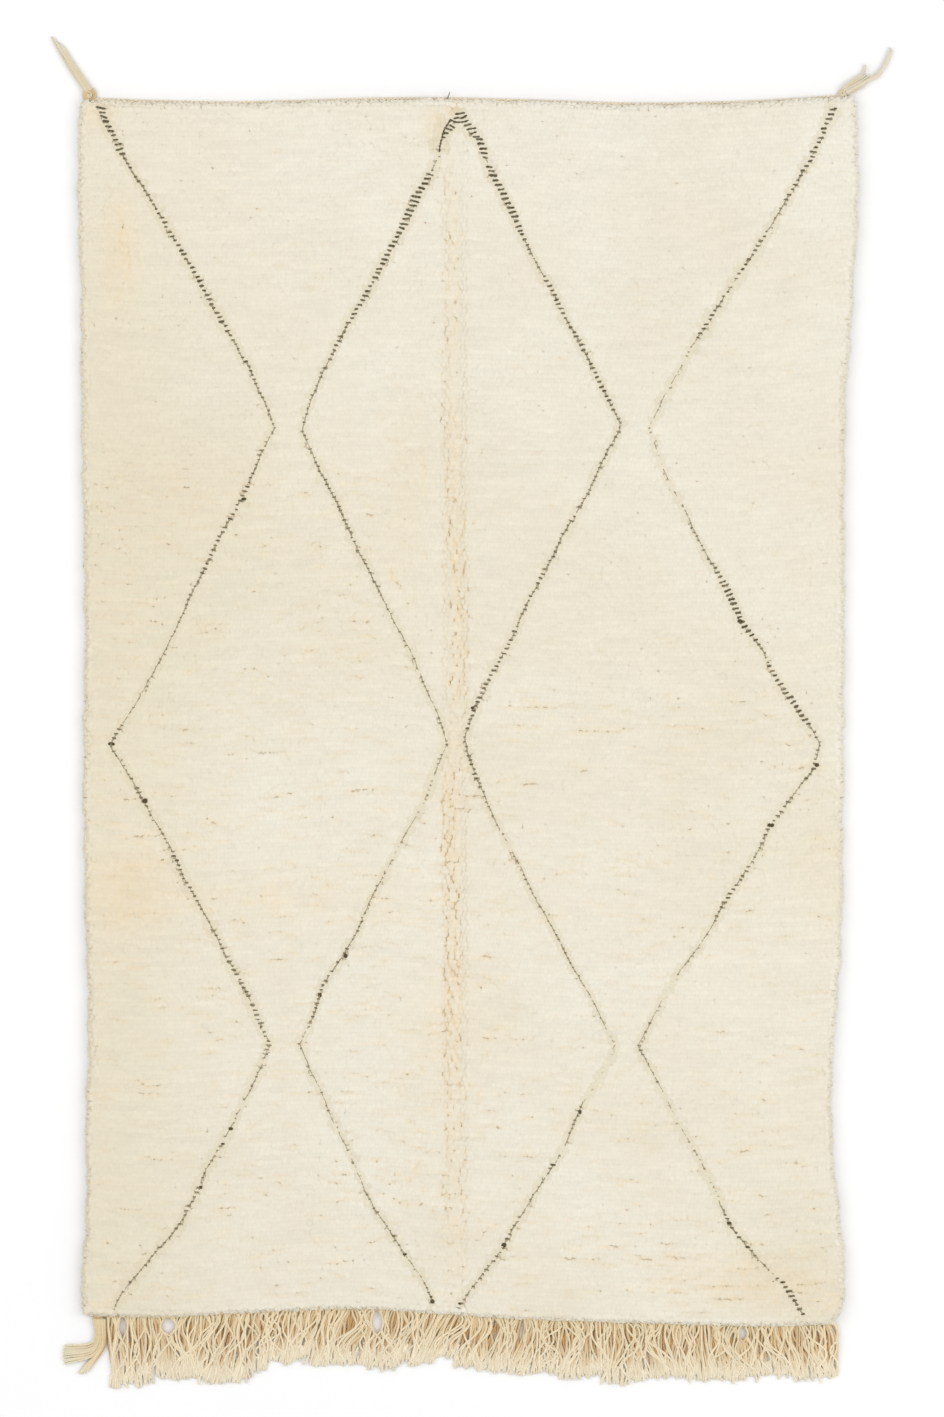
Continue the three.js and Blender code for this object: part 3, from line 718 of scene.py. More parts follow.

# The shares by which shades are laid on, and the brightness: what each follows, over which stretch
# (in metres for X and Y), and its values at the two ends. The left side is yellower and takes
# painted shade, as it lies away from the stronger light; the fringe end is a little yellower and
# darker, and the braided end a little lighter
ranges = {
    "fleece": ("patch", 0.35, 0.7, 0, 1, "LINEAR"),
    "left_side": ("X", -0.76, -0.34, 1, 0, "SMOOTHSTEP"),
    "fringe_end": ("Y", -1.24, -0.86, 0.05, 0, "SMOOTHSTEP"),
    "braided_end": ("Y", 0.8, 1.15, 0, 0.17, "SMOOTHSTEP"),
    "brightness": ("tone", -3, 3, 0.95, 1.03, "LINEAR"),
}
for share, (source, low, high, first, last, kind) in ranges.items():
    stretch = {"From Min": low, "From Max": high, "To Min": first, "To Max": last}
    stretch["Value"] = shares[source]
    shares[share] = add_node(cream_wool, "MapRange", "Result", stretch, interpolation_type=kind)
shares["yellow_tint_and_shade"] = add_node(
    cream_wool, "Math", "Value", {0: shares["left_side"], 1: shares["fringe_end"]},
    operation="MAXIMUM",
)
# The shades, in the order in which they are laid over the first. "depth" is painted shade in the
# hollows between the tufts and on knots pressed against the dark lines, and also darkens the broad
# patches; "warm" is the honey of partings, partly yellower wool and partly painted warm shade, and
# the yellowed spots
laid_over = {
    "fleece": "e6decc", "yellow_tint_and_shade": "e3dac5", "braided_end": "f3efe6", "warm": "e9cb9a",
    "depth": "d8cdb0",
}
shade = linear("e9e4d6")
for share, colour in laid_over.items():
    shade = add_node(
        cream_wool, "Mix", "Result", {"Factor": shares[share], "A": shade, "B": linear(colour)},
        data_type="RGBA",
    )
toned = {"Color": shade, "Value": shares["brightness"]}
shade = add_node(cream_wool, "HueSaturation", "Color", toned)
strands = add_node(cream_wool, "Mapping", "Vector", {"Vector": place, "Scale": (1.0, 1.0, 0.3)})
fibres = {"Vector": strands, "Scale": 900.0, "Detail": 3.0, "Roughness": 0.65}
fibre = add_node(cream_wool, "TexNoise", "Fac", fibres)
fuzz = add_node(
    cream_wool, "Bump", "Normal", {"Height": fibre, "Strength": 0.7, "Distance": 0.7 * millimetre}
)
feed(shader, {"Base Color": shade, "Normal": fuzz})

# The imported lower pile, a soft bed that shows only where the tufts part
bed = {"columns": 80, "rows": 96, "inset": 4, "below_tips": 1.6, "rim_height": 0.96}
bed_size = (1512, 2420)
bed_rim = {"steps": np.array([0, 3, 8, 14]), "width": 22}


def bed_shares(steps, length):
    """Steps from one side to the other, close together over the round edges."""
    near, rim = bed_rim["steps"] / length, bed_rim["width"] / length
    middle = np.linspace(rim, 1 - rim, steps - 2 * len(near))
    return np.concatenate([near, middle, 1 - near[::-1]])


u, v = np.meshgrid(bed_shares(bed["columns"], bed_size[0]), bed_shares(bed["rows"], bed_size[1]))
x, y = place_in_rug(u, v, bed["inset"])
bed_top = crown_height(x, y) - bed["below_tips"]
bed_top = bed_top * np.minimum(rim_share(x, y), bed["rim_height"])
# The bed lies deep in the partings, so its colour is painted warm shade and painted shade
bed_look = {"tone": 0, "warm": 0.35, "depth": 0.25}
pile_bed = make_piece(
    "pile_bed", cream_wool, *slab(x, y, ground["thickness"] - 1, bed_top), bed_look
)
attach(pile_bed, "root")
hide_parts("rug_pile_body")


def tuft_map(count):
    """A map that lays each tuft open as a star in a cell of its own."""
    per_side = math.ceil(math.sqrt(count))
    tip_reach, waist_reach = 0.49, 0.27
    flank, dome = [], []
    for k in range(tuft_sides):
        low, middle, high = [(k + turn) * 2 * math.pi / tuft_sides for turn in (0.5, 1, 1.5)]
        flank += [(middle, tip_reach), (high, waist_reach), (low, waist_reach)]
        dome += [(low, waist_reach), (high, waist_reach), (0, 0)]
    angle, reach = np.array(flank + dome).T
    star = np.stack([0.5 + reach * np.cos(angle), 0.5 + reach * np.sin(angle)], 1)
    cell = np.stack([np.arange(count) % per_side, np.arange(count) // per_side], 1)
    return ((cell[:, None] + star[None]) / per_side).reshape(-1, 2)


def make_pile(name, tufts, tone, warm, depth):
    """A piece of cream tufts; the values are one for each tuft or for each of its points."""
    points, triangles = grow_tufts(*tufts)
    count = len(tufts[0])
    fields = {"tone": tone, "warm": warm, "depth": depth}
    for field, values in fields.items():
        fields[field] = np.broadcast_to(values, (count, tuft_points)).ravel()
    piece = make_piece(name, cream_wool, points, triangles, fields, tuft_map(count))

    # Each dome is shaded apart from its flank, so it stays soft and light
    edges = piece.data.edges
    ends = np.empty(len(edges) * 2, np.int32)
    edges.foreach_get("vertices", ends)
    part = ends.reshape(-1, 2) % tuft_points
    crisp = piece.data.attributes.new("sharp_edge", "BOOLEAN", "EDGE")
    crisp.data.foreach_set("value", ((part > 0) & (part <= tuft_sides)).all(1))
    return piece


pile_bands = 4
band_edges = np.quantile(knot_y, np.linspace(0, 1, pile_bands + 1))
band_edges[-1] += 1
for band in range(pile_bands):
    inside = (knot_y >= band_edges[band]) & (knot_y < band_edges[band + 1])
    tufts = [values[inside] for values in (knot_root, knot_tip, wide, deep, turn)]
    piece = make_pile(f"pile_band_{band + 1}", tufts, tone[inside], warm[inside], depth[inside])
    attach(piece, "root")
    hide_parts("rug_pile_body")


# The pile's rim. The outermost knots fall outwards over the edge of the weave in four ranks, and
# loose wool ends stand out of them all round.
rim_pitch = 7.4
rim_rows = [
    {"root": 10, "tip": 0.2, "height": 8, "wide": 5.6, "deep": 4.4},
    {"root": 10, "tip": 2.2, "height": 13.5, "wide": 5.8, "deep": 4.6},
    {"root": 11, "tip": 5.2, "height": 18.5, "wide": 6, "deep": 5},
    {"root": 13, "tip": 9, "height": 22, "wide": 6.2, "deep": 5.6},
]
rim_ragged = {"apart": 0.3, "tip": 0.9, "height": 0.6, "slip": 1.5, "turn": 0.3}
over_braid = 1.3
wisp = {"count": 3200, "length": 8, "half_width": 0.7, "inward": 7, "yaw": 0.6, "lowest": 0.8}
rim_steps = 400

ramp = np.linspace(0, 1, rim_steps, endpoint=False)
around_u = np.concatenate([ramp, np.ones(rim_steps), 1 - ramp, np.zeros(rim_steps)])
around_v = np.concatenate([np.zeros(rim_steps), ramp, np.ones(rim_steps), 1 - ramp])
rim_x, rim_y = place_in_rug(around_u, around_v, 0)
rim_x, rim_y = np.append(rim_x, rim_x[0]), np.append(rim_y, rim_y[0])
step = np.hypot(np.diff(rim_x), np.diff(rim_y))
rim_length = step.sum()
rim_at = np.concatenate([[0], np.cumsum(step)])


def rim_place(distance):
    """The point at a distance round the rug's outline, and its outward direction."""
    distance = np.mod(distance, rim_length)
    ahead = np.mod(distance + 4, rim_length)
    x, y = np.interp(distance, rim_at, rim_x), np.interp(distance, rim_at, rim_y)
    run_x, run_y = np.interp(ahead, rim_at, rim_x) - x, np.interp(ahead, rim_at, rim_y) - y
    size = np.hypot(run_x, run_y)
    return x, y, run_y / size, -run_x / size


draw = np.random.default_rng(37)
roots, tips = [], []
number = int(rim_length / rim_pitch)
for row in rim_rows:
    place = np.arange(number) + draw.uniform(-rim_ragged["apart"], rim_ragged["apart"], number)
    x, y, out_x, out_y = rim_place(place * rim_pitch)
    reach = row["tip"] + draw.normal(0, rim_ragged["tip"], number)
    reach -= over_braid * (out_y > 0.9) * (1 + np.sin(x / 23 + 2 * np.sin(x / 61)))
    height = row["height"] + draw.normal(0, rim_ragged["height"], number)
    roots.append([x - out_x * row["root"], y - out_y * row["root"], np.full(number, 2.0)])
    slip = draw.normal(0, rim_ragged["slip"], number)
    tip_y = y - out_y * reach + out_x * slip + lean["down"] * np.abs(out_x)
    tips.append([x - out_x * reach - out_y * slip, tip_y, height])
roots, tips = [np.concatenate(places, 1).T for places in (roots, tips)]
wide, deep = [np.repeat([row[way] for row in rim_rows], number) for way in ("wide", "deep")]
number = len(roots)
tufts = (roots, tips, wide, deep, draw.normal(0, rim_ragged["turn"], number))
tone = draw.normal(0, 1, (number, 1))
# A little painted shade in the hollows of the rim's tufts
pile_rim = make_pile("pile_rim", tufts, tone, 0, 0.3 * tuft_depth)
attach(pile_rim, "root")
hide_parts("rug_pile_body")

number = wisp["count"]
x, y, out_x, out_y = rim_place(draw.uniform(0, rim_length, number))
inward = draw.uniform(0, wisp["inward"], number)
height = np.interp(inward, [0, 3, 7], [8, 15, 19]) * draw.uniform(0.5, 1.1, number)
yaw = draw.normal(0, wisp["yaw"], number)
reach = wisp["length"] * draw.uniform(0.5, 1.3, number)
way_x, way_y = turned(out_x, out_y, -yaw)
start = np.stack([x - out_x * inward, y - out_y * inward, height], 1)
end = start + np.stack([way_x * reach, way_y * reach, draw.normal(-1, 2, number)], 1)
end[:, 2] = np.maximum(end[:, 2], wisp["lowest"])
side = np.stack([-way_y, way_x, np.zeros(number)], 1) * wisp["half_width"]
lift = np.array([0, 0, wisp["half_width"] * 1.2])
corner_points = [start + side, start - side, start + lift, end]
wisp_points = np.stack(corner_points, 1).reshape(-1, 3)
wisp_faces = np.array([[0, 1, 3], [1, 2, 3], [2, 0, 3], [0, 2, 1]])
wisp_triangles = copies(wisp_faces, number, 4)
# Painted shade on the wisps, most at their roots
wisp_look = {
    "tone": np.repeat(draw.normal(0, 1, number), 4), "warm": 0,
    "depth": np.tile([0.3, 0.3, 0.2, 0.0], number),
}
rim_wisps = make_piece("rim_wisps", cream_wool, wisp_points, wisp_triangles, wisp_look)
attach(rim_wisps, "root")


# The top end's braid. The warp ends are plaited, three yarns together, into a thin edging that
# lies against the pile: tan and unbleached, with painted shade in its hollows.
plait = {"start": -759, "end": 737, "period": 26, "sway": 2.1, "rise": 1.2, "radius": 1.75}
plait_step = 2.6
foot = {"off": 1.2, "height": 2.4, "radius": 1.9, "steps": 190}
yarn_sides = 5
clearance = 0.3


def spun_yarn(route, radius, tip=1.0, sides=6, slub=0.08, phase=0.0):
    """A round yarn along a route: points, triangles, and the values that place its plies."""
    steps = len(route)
    run = np.gradient(route, axis=0)
    run /= np.linalg.norm(run, axis=1, keepdims=True)
    side = np.cross(run, [0, 0, 1.0])
    side /= np.linalg.norm(side, axis=1, keepdims=True)
    up = np.cross(side, run)
    share = np.linspace(0, 1, steps)
    length = np.concatenate([[0], np.cumsum(np.linalg.norm(np.diff(route, axis=0), axis=1))])
    thick = radius * blend(1, tip, share) * (1 + slub * np.sin(length / 5.5 + phase))
    angle = np.arange(sides) * 2 * math.pi / sides
    out = side[:, None] * np.cos(angle)[None, :, None] + up[:, None] * np.sin(angle)[None, :, None]
    rings = (route[:, None] + out * thick[:, None, None]).reshape(-1, 3)
    ends = [route[0] - run[0] * radius * 0.4, route[-1] + run[-1] * thick[-1] * 0.8]
    points = np.concatenate([rings, ends])
    points[:, 2] = np.maximum(points[:, 2], 0.1)
    k = np.arange(sides)
    after = (k + 1) % sides
    quads = []
    for s in range(steps - 1):
        a, b = s * sides + k, s * sides + after
        quads += [np.stack([a, b, b + sides], 1), np.stack([a, b + sides, a + sides], 1)]
    last = (steps - 1) * sides
    quads.append(np.stack([after, k, np.full(sides, steps * sides)], 1))
    quads.append(np.stack([last + k, last + after, np.full(sides, steps * sides + 1)], 1))
    fields = {
        "ply_cos": np.append(np.tile(np.cos(angle), steps), [0, 0]),
        "ply_sin": np.append(np.tile(np.sin(angle), steps), [0, 0]),
        "along": np.append(np.repeat(length, sides), [0, length[-1]]),
        "share": np.append(np.repeat(share, sides), [0, 1]),
    }
    return points, np.concatenate(quads)[:, ::-1], fields


def with_tone(part, tone, layer=0.0):
    """The part with its own tone, and painted shade for how deep it lies among its neighbours."""
    points, triangles, fields = part
    fields["tone"] = np.full(len(points), tone)
    fields["layer"] = layer * np.sin(math.pi * fields["share"] ** 0.6)
    return points, triangles, fields


def yarn_finish(name, root, tip, hollow, ply_pitch):
    """Plied wool yarn: a colour from root to tip, painted shade where it lies deep, and its twist.
    """
    material, shader = start_finish(name, 0.9, 0.15, sheen=0.25)
    fields = {}
    for field in ("share", "layer", "tone", "along", "ply_cos", "ply_sin"):
        fields[field] = add_node(material, "Attribute", "Fac", attribute_name=field)
    shade = linear(root)
    for field, colour in (("share", tip), ("layer", hollow)):
        shade = add_node(
            material, "Mix", "Result", {"Factor": fields[field], "A": shade, "B": linear(colour)},
            data_type="RGBA",
        )
    stretch = {"From Min": -3.0, "From Max": 3.0, "To Min": 0.86, "To Max": 1.1}
    brightness = add_node(material, "MapRange", "Result", {"Value": fields["tone"], **stretch})
    toned = {"Color": shade, "Value": brightness}
    shade = add_node(material, "HueSaturation", "Color", toned)
    turns = {0: fields["along"], 1: 2 * math.pi / ply_pitch}
    turn = add_node(material, "Math", "Value", turns, operation="MULTIPLY")
    lobes = []
    for trig, field in (("COSINE", "ply_cos"), ("SINE", "ply_sin")):
        wave = add_node(material, "Math", "Value", {0: turn}, operation=trig)
        both = {0: wave, 1: fields[field]}
        lobes.append(add_node(material, "Math", "Value", both, operation="MULTIPLY"))
    twist = add_node(material, "Math", "Value", {0: lobes[0], 1: lobes[1]}, operation="ADD")
    plies = add_node(
        material, "Bump", "Normal", {"Height": twist, "Strength": 0.4, "Distance": 0.5 * millimetre}
    )
    place = add_node(material, "TexCoord", "Object")
    fibre = add_node(material, "TexNoise", "Fac", {"Vector": place, "Scale": 900.0, "Detail": 2.0})
    fuzz = add_node(
        material, "Bump", "Normal",
        {"Height": fibre, "Strength": 0.5, "Distance": 0.4 * millimetre, "Normal": plies},
    )
    feed(shader, {"Base Color": shade, "Normal": fuzz})
    return material


# Unbleached tan warp yarn, plaited: matt, with painted honey-brown shade in its hollows
plaited_yarn = yarn_finish("plaited_warp_wool", "f3e9d2", "f3e9d2", "e0c69c", 7)
steps = round((plait["end"] - plait["start"]) / plait_step)
x = np.linspace(plait["start"], plait["end"], steps + 1)
middle = top_edge(x) + braid_width / 2 + clearance / 2
parts = []
draw = np.random.default_rng(41)
for strand in range(3):
    turn = 2 * math.pi * (x / plait["period"] + strand / 3)
    z = plait["radius"] + plait["rise"] * (1 + np.sin(2 * turn))
    route = np.stack([x, middle + plait["sway"] * np.sin(turn), z], 1)
    part = spun_yarn(route, plait["radius"], sides=yarn_sides, slub=0.1, phase=strand)
    # Painted shade where the strand dips under the other two
    part[2]["layer"] = np.append(np.repeat(0.5 - 0.5 * np.sin(2 * turn), yarn_sides), [0, 0])
    part[2]["tone"] = np.append(np.repeat(np.sin(x / 41 + strand) * 1.5, yarn_sides), [0, 0])
    parts.append(part)

# The warp yarn that the plait is worked over closes its foot against the pile
x = np.linspace(plait["start"], plait["end"], foot["steps"])
route = np.stack([x, top_edge(x) + foot["off"], np.full_like(x, foot["height"])], 1)
foot_yarn = spun_yarn(route, foot["radius"], sides=yarn_sides)
along = foot_yarn[2]["along"]
# Painted shade in patches along the foot, where it lies under the pile's edge
foot_yarn[2]["layer"] = 0.3 + 0.3 * np.sin(along / 23 + 2 * np.sin(along / 61))
foot_yarn[2]["tone"] = np.zeros(len(foot_yarn[0]))
parts.append(foot_yarn)
end_braid = make_piece("end_braid", plaited_yarn, *join(parts))
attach(end_braid, "root")
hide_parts("top_end_braid")


# The fringe. The rug's own warp yarns, cut about 95 to 145 mm beyond the last twined wefts: loosely
# plied wool that lies in clumps, the upper ones crossing the lower, paler towards the cut tips.
fringe_left = -728
fringe_right = 722
fringe_lie = table(
    "x lean length",
    (-730, 4, 143), (-674, 4, 142), (-655, 5, 131), (-622, 8, 116), (-560, -8, 124),
    (-483, -36, 132), (-440, -20, 130), (-403, -8, 110), (-283, -24, 102), (-173, -8, 112),
    (-123, -18, 106), (-43, -44, 94), (37, -14, 100), (87, -24, 106), (177, -8, 108),
    (257, 0, 110), (457, 16, 103), (537, 6, 100), (637, 18, 103), (722, 12, 100),
)

# Holes between the strands, where the floor shows: each one's middle, half width and its reach
# down from the wefts
fringe_gaps = [(-698, 7, 38), (-607, 14, 34), (-189, 10, 46), (543, 8, 28)]

# Three layers: each one's strands, their height and radius, how far a lock of them leans to one
# side and bows, how far single strands do, and the painted shade it takes for lying deep in the
# fringe
fringe_layers = [
    {"count": 400, "z": 1.2, "radius": 3.1, "lean": 2, "bow": 2, "fan": 4, "wave": 3, "deep": 0.9},
    {"count": 290, "z": 4.6, "radius": 2.7, "lean": 9, "bow": 6, "fan": 4, "wave": 3, "deep": 0.5},
    {"count": 250, "z": 7.2, "radius": 2.4, "lean": 12, "bow": 8, "fan": 9, "wave": 6, "deep": 0.1},
]
strand = {"steps": 14, "tip": 0.9, "slub": 0.1, "tucked_in": 3}
lock = {"width": 21, "ragged": 8}
clump = {"width": 34, "ragged": 9, "length": 5}
longest = 143
cut_ends = {"count": 380, "length": 24, "radius": 3.2, "tip": 0.45, "steps": 6}


def step_aside(x, y, root_x, radius):
    """The strand's x kept clear of the holes, on the side where it starts."""
    down = bottom_edge(root_x) - y
    for gap_x, half_width, reach in fringe_gaps:
        clear = half_width * np.sin(math.pi * np.clip(down / reach / 1.15, 0, 1)) + radius
        side = 1 if root_x > gap_x else -1
        off = side * (x - gap_x)
        x = np.where((down < reach * 1.15) & (off < clear), gap_x + side * clear, x)
    return x


# Loosely plied warp wool, matt: tan where it leaves the rug, paler at the cut ends, and with
# painted honey-coloured shade where a yarn lies under others
fringe_yarn = yarn_finish("plied_warp_wool", "ecdcb8", "eee3ca", "c59b5f", 9)
draw = np.random.default_rng(53)
clump_middles = np.arange(fringe_left, fringe_right, clump["width"])
clump_middles = clump_middles + draw.uniform(-clump["ragged"], clump["ragged"], len(clump_middles))
clump_length = draw.normal(0, clump["length"], len(clump_middles))
share = np.linspace(0, 1, strand["steps"])
parts = []
for layer in fringe_layers:
    lock_middles = np.arange(fringe_left, fringe_right, lock["width"])
    lock_middles = lock_middles + draw.uniform(-lock["ragged"], lock["ragged"], len(lock_middles))
    lock_lean = draw.normal(0, layer["lean"], len(lock_middles))
    lock_bow = draw.normal(0, layer["bow"], len(lock_middles))
    lock_turns = draw.uniform(0.5, 1.1, len(lock_middles))
    for root_x in np.linspace(fringe_left, fringe_right, layer["count"]):
        mine = np.argmin(np.abs(lock_middles - root_x - draw.normal(0, 2)))
        nearest = np.argmin(np.abs(clump_middles - root_x))
        length = read(fringe_lie, "x", "length", root_x) + clump_length[nearest]
        length = min(length + draw.normal(0, 4) - 3, longest)
        lean_x = read(fringe_lie, "x", "lean", root_x) + lock_lean[mine]
        lean_x += draw.normal(0, layer["fan"])
        bow = lock_bow[mine] * np.sin(2 * math.pi * lock_turns[mine] * share)
        wave = draw.normal(0, layer["wave"]) * np.sin(2 * math.pi * draw.uniform(0.8, 2) * share)
        edge = bottom_edge(root_x)
        y = blend(edge + strand["tucked_in"], edge - slab_inset - length, share)
        x = root_x + lean_x * share**1.2 + bow + wave
        x = step_aside(x, y, root_x, layer["radius"])
        x = np.clip(x, fringe_left - 3 + layer["radius"], fringe_right + 10)
        z = layer["z"] + 0.8 * np.sin(7 * share + draw.uniform(0, 6)) + 2 * (1 - share) ** 4
        z = blend(z, layer["radius"] * 0.9, share**3)
        route = np.stack([x, y, z], 1)
        phase = draw.uniform(0, 6)
        yarn = (layer["radius"], strand["tip"], yarn_sides, strand["slub"], phase)
        part = spun_yarn(route, *yarn)
        parts.append(with_tone(part, draw.normal(0, 1), layer["deep"]))

# The cut ends have opened into pale wool, which closes the fringe's hem
for root_x in draw.uniform(fringe_left + 6, fringe_right - 4, cut_ends["count"]):
    nearest = np.argmin(np.abs(clump_middles - root_x))
    length = read(fringe_lie, "x", "length", root_x) + clump_length[nearest] - 4
    lean_x = read(fringe_lie, "x", "lean", root_x)
    ends_at = min(length + draw.normal(0, 5), longest - 1)
    span = cut_ends["length"] * draw.uniform(0.7, 1.4)
    ramp = np.linspace(0, 1, cut_ends["steps"])
    reach = (ends_at - span * (1 - ramp)) / length
    drift = draw.normal(0, 3) * ramp + draw.normal(0, 4)
    x = root_x + lean_x * reach**1.3 + drift
    y = bottom_edge(root_x) - slab_inset - reach * length
    z = draw.uniform(1.5, 3.5) - ramp
    yarn = (cut_ends["radius"], cut_ends["tip"], yarn_sides, 0)
    part = spun_yarn(np.stack([x, y, z], 1), *yarn)
    part[2]["share"][:] = 1
    parts.append(with_tone(part, draw.normal(0.6, 1), 0))

# The last twined wefts, which hold the warps where the fringe begins
weft_rows = [(-1.5, 3.2), (1.6, 1.8), (4.6, 1.5)]
weft_level = 7.5
x = np.linspace(fringe_left - 34, fringe_right + 3, 240)
for number, (off, radius) in enumerate(weft_rows):
    wobble = 0.5 * np.sin(x / 7 + 2 * number)
    level = weft_level - off + wobble
    route = np.stack([x, bottom_edge(x) - off + wobble * 0.4, level], 1)
    # The wefts take a little painted shade
    parts.append(with_tone(spun_yarn(route, radius, sides=yarn_sides), 1, 0.15))
warp_fringe = make_piece("warp_fringe", fringe_yarn, *join(parts))
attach(warp_fringe, "root")
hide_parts("fringe")


# The corner ties and the corner tassel. Bundles of the same warp yarn: at each top corner the braid
# ends in a wrapped knot with its yarns running out over the floor, and at the bottom left corner a
# bundle of warps bends away from the fringe.
bundles = [
    {
        "piece": "left_corner_tie",
        "node": "left_tie",
        "slot": "corner_tie_wool",
        "radius": 2.5,
        "knot": {"x": -766, "y": 1238, "half_width": 15, "half_depth": 15, "height": 12.5},
        "locks": [
            [
                [(-772, 1242), (-812, 1304), (-840, 1353)],
                [(-768, 1244), (-808, 1306), (-833, 1347)],
                [(-764, 1246), (-804, 1304), (-827, 1341)],
                [(-761, 1248), (-797, 1300), (-816, 1333)],
            ],
        ],
        "between": 2,
        "shades": ("dfd3b6", "dfd8c4", "d6b37c"),
        "knot_layer": 0.9,
    },
    {
        "piece": "right_corner_tie",
        "node": "right_tie",
        "slot": "corner_tie_wool",
        "radius": 3.3,
        "knot": {"x": 743, "y": 1240.6, "half_width": 10.5, "half_depth": 11, "height": 10.5},
        "locks": [
            [
                [(752, 1240), (772, 1249), (788, 1259)],
                [(750, 1242), (772, 1254), (793, 1266)],
                [(747, 1246), (769, 1259), (794, 1274)],
                [(745, 1248), (767, 1263), (788, 1276)],
                [(743, 1250), (765, 1265), (782, 1276), (788, 1295)],
                [(750, 1243), (771, 1255), (796, 1270), (809, 1276), (825, 1298), (838, 1330)],
                [(750, 1242), (772, 1254), (797, 1268), (811, 1275), (828, 1297), (841, 1325)],
            ],
        ],
        "between": 0,
        "shades": ("e0d7c2", "e0d9c8", "d3b887"),
        "knot_layer": 0.4,
    },
    {
        "piece": "left_corner_tassel",
        "node": "corner_tassel",
        "slot": "warp_fringe_wool",
        "radius": 2.5,
        "knot": {"x": -747.5, "y": -1210.8, "half_width": 12, "half_depth": 6.6, "height": 5.5},
        "locks": [
            [
                [(-756, -1213), (-752, -1246), (-765, -1265), (-813, -1267)],
                [(-752, -1213), (-749, -1249), (-764, -1273), (-816, -1278)],
                [(-748, -1213), (-745, -1253), (-761, -1281), (-817, -1290)],
                [(-743, -1213), (-741, -1257), (-757, -1287), (-813, -1303)],
            ],
            [
                [(-741, -1213), (-739, -1257), (-754, -1285), (-773, -1305), (-786, -1320)],
                [(-738, -1213), (-737, -1258), (-748, -1282), (-764, -1303), (-777, -1321)],
                [(-734, -1213), (-733.5, -1259), (-743, -1281), (-757, -1301), (-768, -1317)],
            ],
        ],
        "between": 2,
        "shades": ("e7d6b0", "e9dfc4", "c9a066"),
        "knot_layer": 0.6,
    },
]
bundle_yarn = {"tip": 0.8, "steps": 22, "spread": 1.1, "slub": 0.1}
knot_yarn = {"radius": 2.8, "steps": 19, "slub": 0.15, "inset": 2}
knot_turns = [(0.86, 0.2), (0.9, 0.42), (0.7, 0.62), (0.42, 0.76), (0.12, 0.86)]


def curve_through(places, steps):
    """Evenly shared points on a smooth curve through a few places."""
    places = np.array(places, float)
    padded = np.concatenate([[2 * places[0] - places[1]], places, [2 * places[-1] - places[-2]]])
    spots = []
    for t in np.linspace(0, len(places) - 1 - 1e-6, steps):
        i, f = int(t), t - int(t)
        a, b, c, d = padded[i : i + 4]
        curve = 2 * b + (c - a) * f + (2 * a - 5 * b + 4 * c - d) * f * f
        spots.append((curve + (3 * b - a - 3 * c + d) * f**3) / 2)
    return np.array(spots)


def wrapped_knot(x, y, half_width, half_depth, height):
    """The turns of yarn that are wound and drawn tight into a knot."""
    parts = []
    angle = np.linspace(0, 2 * math.pi, knot_yarn["steps"])
    inset = knot_yarn["inset"]
    for number, (ring, level) in enumerate(knot_turns):
        tilt = draw.uniform(-0.3, 0.3)
        out_x = (half_width - inset) * ring * np.cos(angle)
        out_y = (half_depth - inset) * ring * np.sin(angle)
        z = np.clip(height * level + tilt * out_x, inset + 0.2, height - inset)
        shift_x, shift_y = draw.normal(0, 0.8, 2)
        route = np.stack([x + shift_x + out_x, y + shift_y + out_y, z], 1)
        parts.append(spun_yarn(route, knot_yarn["radius"], slub=knot_yarn["slub"], phase=number))
    return parts


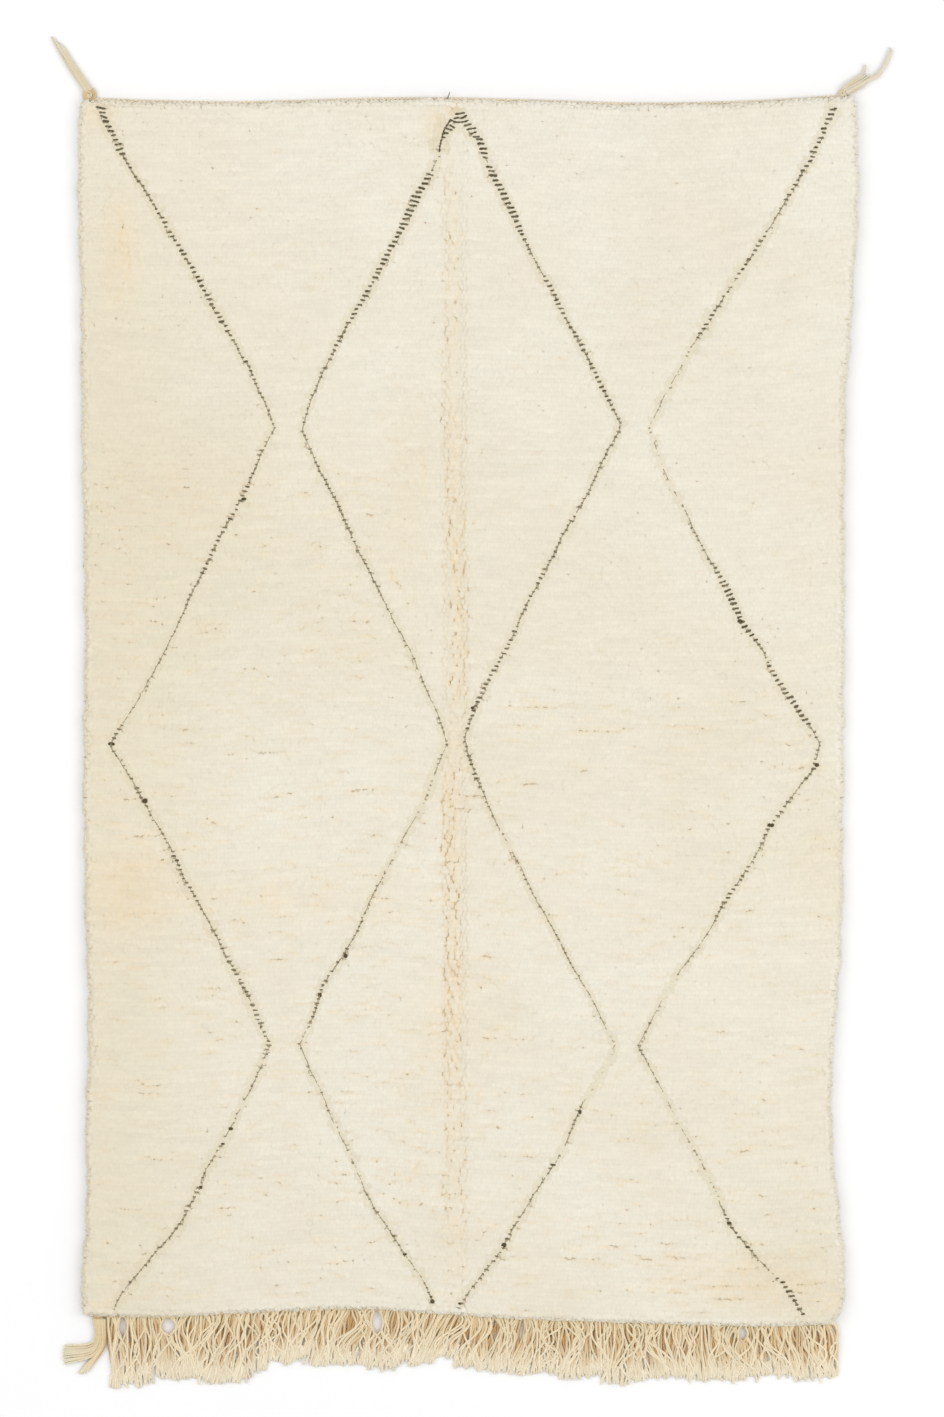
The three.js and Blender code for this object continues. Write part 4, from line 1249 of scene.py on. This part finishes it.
draw = np.random.default_rng(67)
for bundle in bundles:
    wool = yarn_finish(f"{bundle['piece']}_wool", *bundle["shades"], 9)
    parts = []
    for part in wrapped_knot(**bundle["knot"]):
        part = with_tone(part, draw.normal(0, 1))
        # Painted shade on the knot's turns
        part[2]["layer"][:] = bundle["knot_layer"] * draw.uniform(0.3, 1)
        parts.append(part)
    curves = []
    for lock in bundle["locks"]:
        lines = [curve_through(route, bundle_yarn["steps"]) for route in lock]
        curves += lines
        for left, right in zip(lines[:-1], lines[1:]):
            for number in range(bundle["between"]):
                curves.append(blend(left, right, (number + 1) / (bundle["between"] + 1)))
    for curve in curves:
        for level in (1, 2.4):
            share = np.linspace(0, 1, len(curve))[:, None]
            flat = curve + draw.normal(0, bundle_yarn["spread"], 2) * np.sin(math.pi * share * 0.8)
            start_z = bundle["radius"] * level + 2.5
            z = blend(start_z, bundle["radius"] * (1 + 0.4 * (level - 1)), share**0.6)
            route = np.concatenate([flat, z], 1)
            yarn = (bundle["radius"], bundle_yarn["tip"], yarn_sides, bundle_yarn["slub"], level)
            part = spun_yarn(route, *yarn)
            # Painted shade on the lower yarns, and a little on the upper ones
            layer = 0.8 if level == 1 else draw.uniform(0, 0.5)
            parts.append(with_tone(part, draw.normal(0, 1), layer))
    piece = make_piece(bundle["piece"], wool, *join(parts))
    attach(piece, "root")
    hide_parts(bundle["node"])


# The loose thread end. One dark yarn end from the lattice's top point sticks out over the braid.
dark_end = curve_through([(-52, 1222, 8), (-47, 1233, 9), (-43, 1243, 7)], 10)
dark_yarn = with_tone(spun_yarn(dark_end, 1.3, 0.7), 0)
thread_end = make_piece("dark_thread_end", dark_wool, *dark_yarn)
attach(thread_end, "root")


# The room: a pale floor and soft, even light from all round, a little stronger from two large
# softboxes beside the rug.
floor_half = 8000
floor_level = -1
room_light = 0.885
floor_white, shader = start_finish("pale_floor", 0.9, 0.1)
place = add_node(floor_white, "TexCoord", "Object")
speckle = add_node(floor_white, "TexNoise", "Fac", {"Vector": place, "Scale": 2.0, "Detail": 2.0})
shade = add_node(
    floor_white, "Mix", "Result", {"Factor": speckle, "A": linear("f4f4f4"), "B": linear("f7f7f7")},
    data_type="RGBA",
)
feed(shader, {"Base Color": shade})
floor_points = np.array([[-1, -1, 0], [1, -1, 0], [1, 1, 0], [-1, 1, 0]], float) * floor_half
floor_points[:, 2] = floor_level
floor = make_piece("floor", floor_white, floor_points, np.array([[0, 1, 2], [0, 2, 3]]))

world = bpy.data.worlds.new("soft_room")
world.use_nodes = True
feed(world.node_tree.nodes["Background"], {"Color": (1, 1, 1, 1), "Strength": room_light})
bpy.context.scene.world = world
softboxes = [
    {"name": "left_softbox", "place": (-3.4, 0.9, 3.6), "size": 2.6, "watts": 41},
    {"name": "right_softbox", "place": (3.4, -0.2, 3.8), "size": 2.6, "watts": 50},
]
for box in softboxes:
    lamp = bpy.data.lights.new(box["name"], "AREA")
    lamp.size = box["size"]
    lamp.energy = box["watts"]
    light = bpy.data.objects.new(box["name"], lamp)
    light.location = box["place"]
    x, y, z = box["place"]
    light.rotation_euler = (0, math.atan2(x, z), math.atan2(y, x) if x > 0 else math.atan2(-y, -x))
    bpy.context.scene.collection.objects.link(light)
bpy.context.scene.view_settings.view_transform = "Standard"
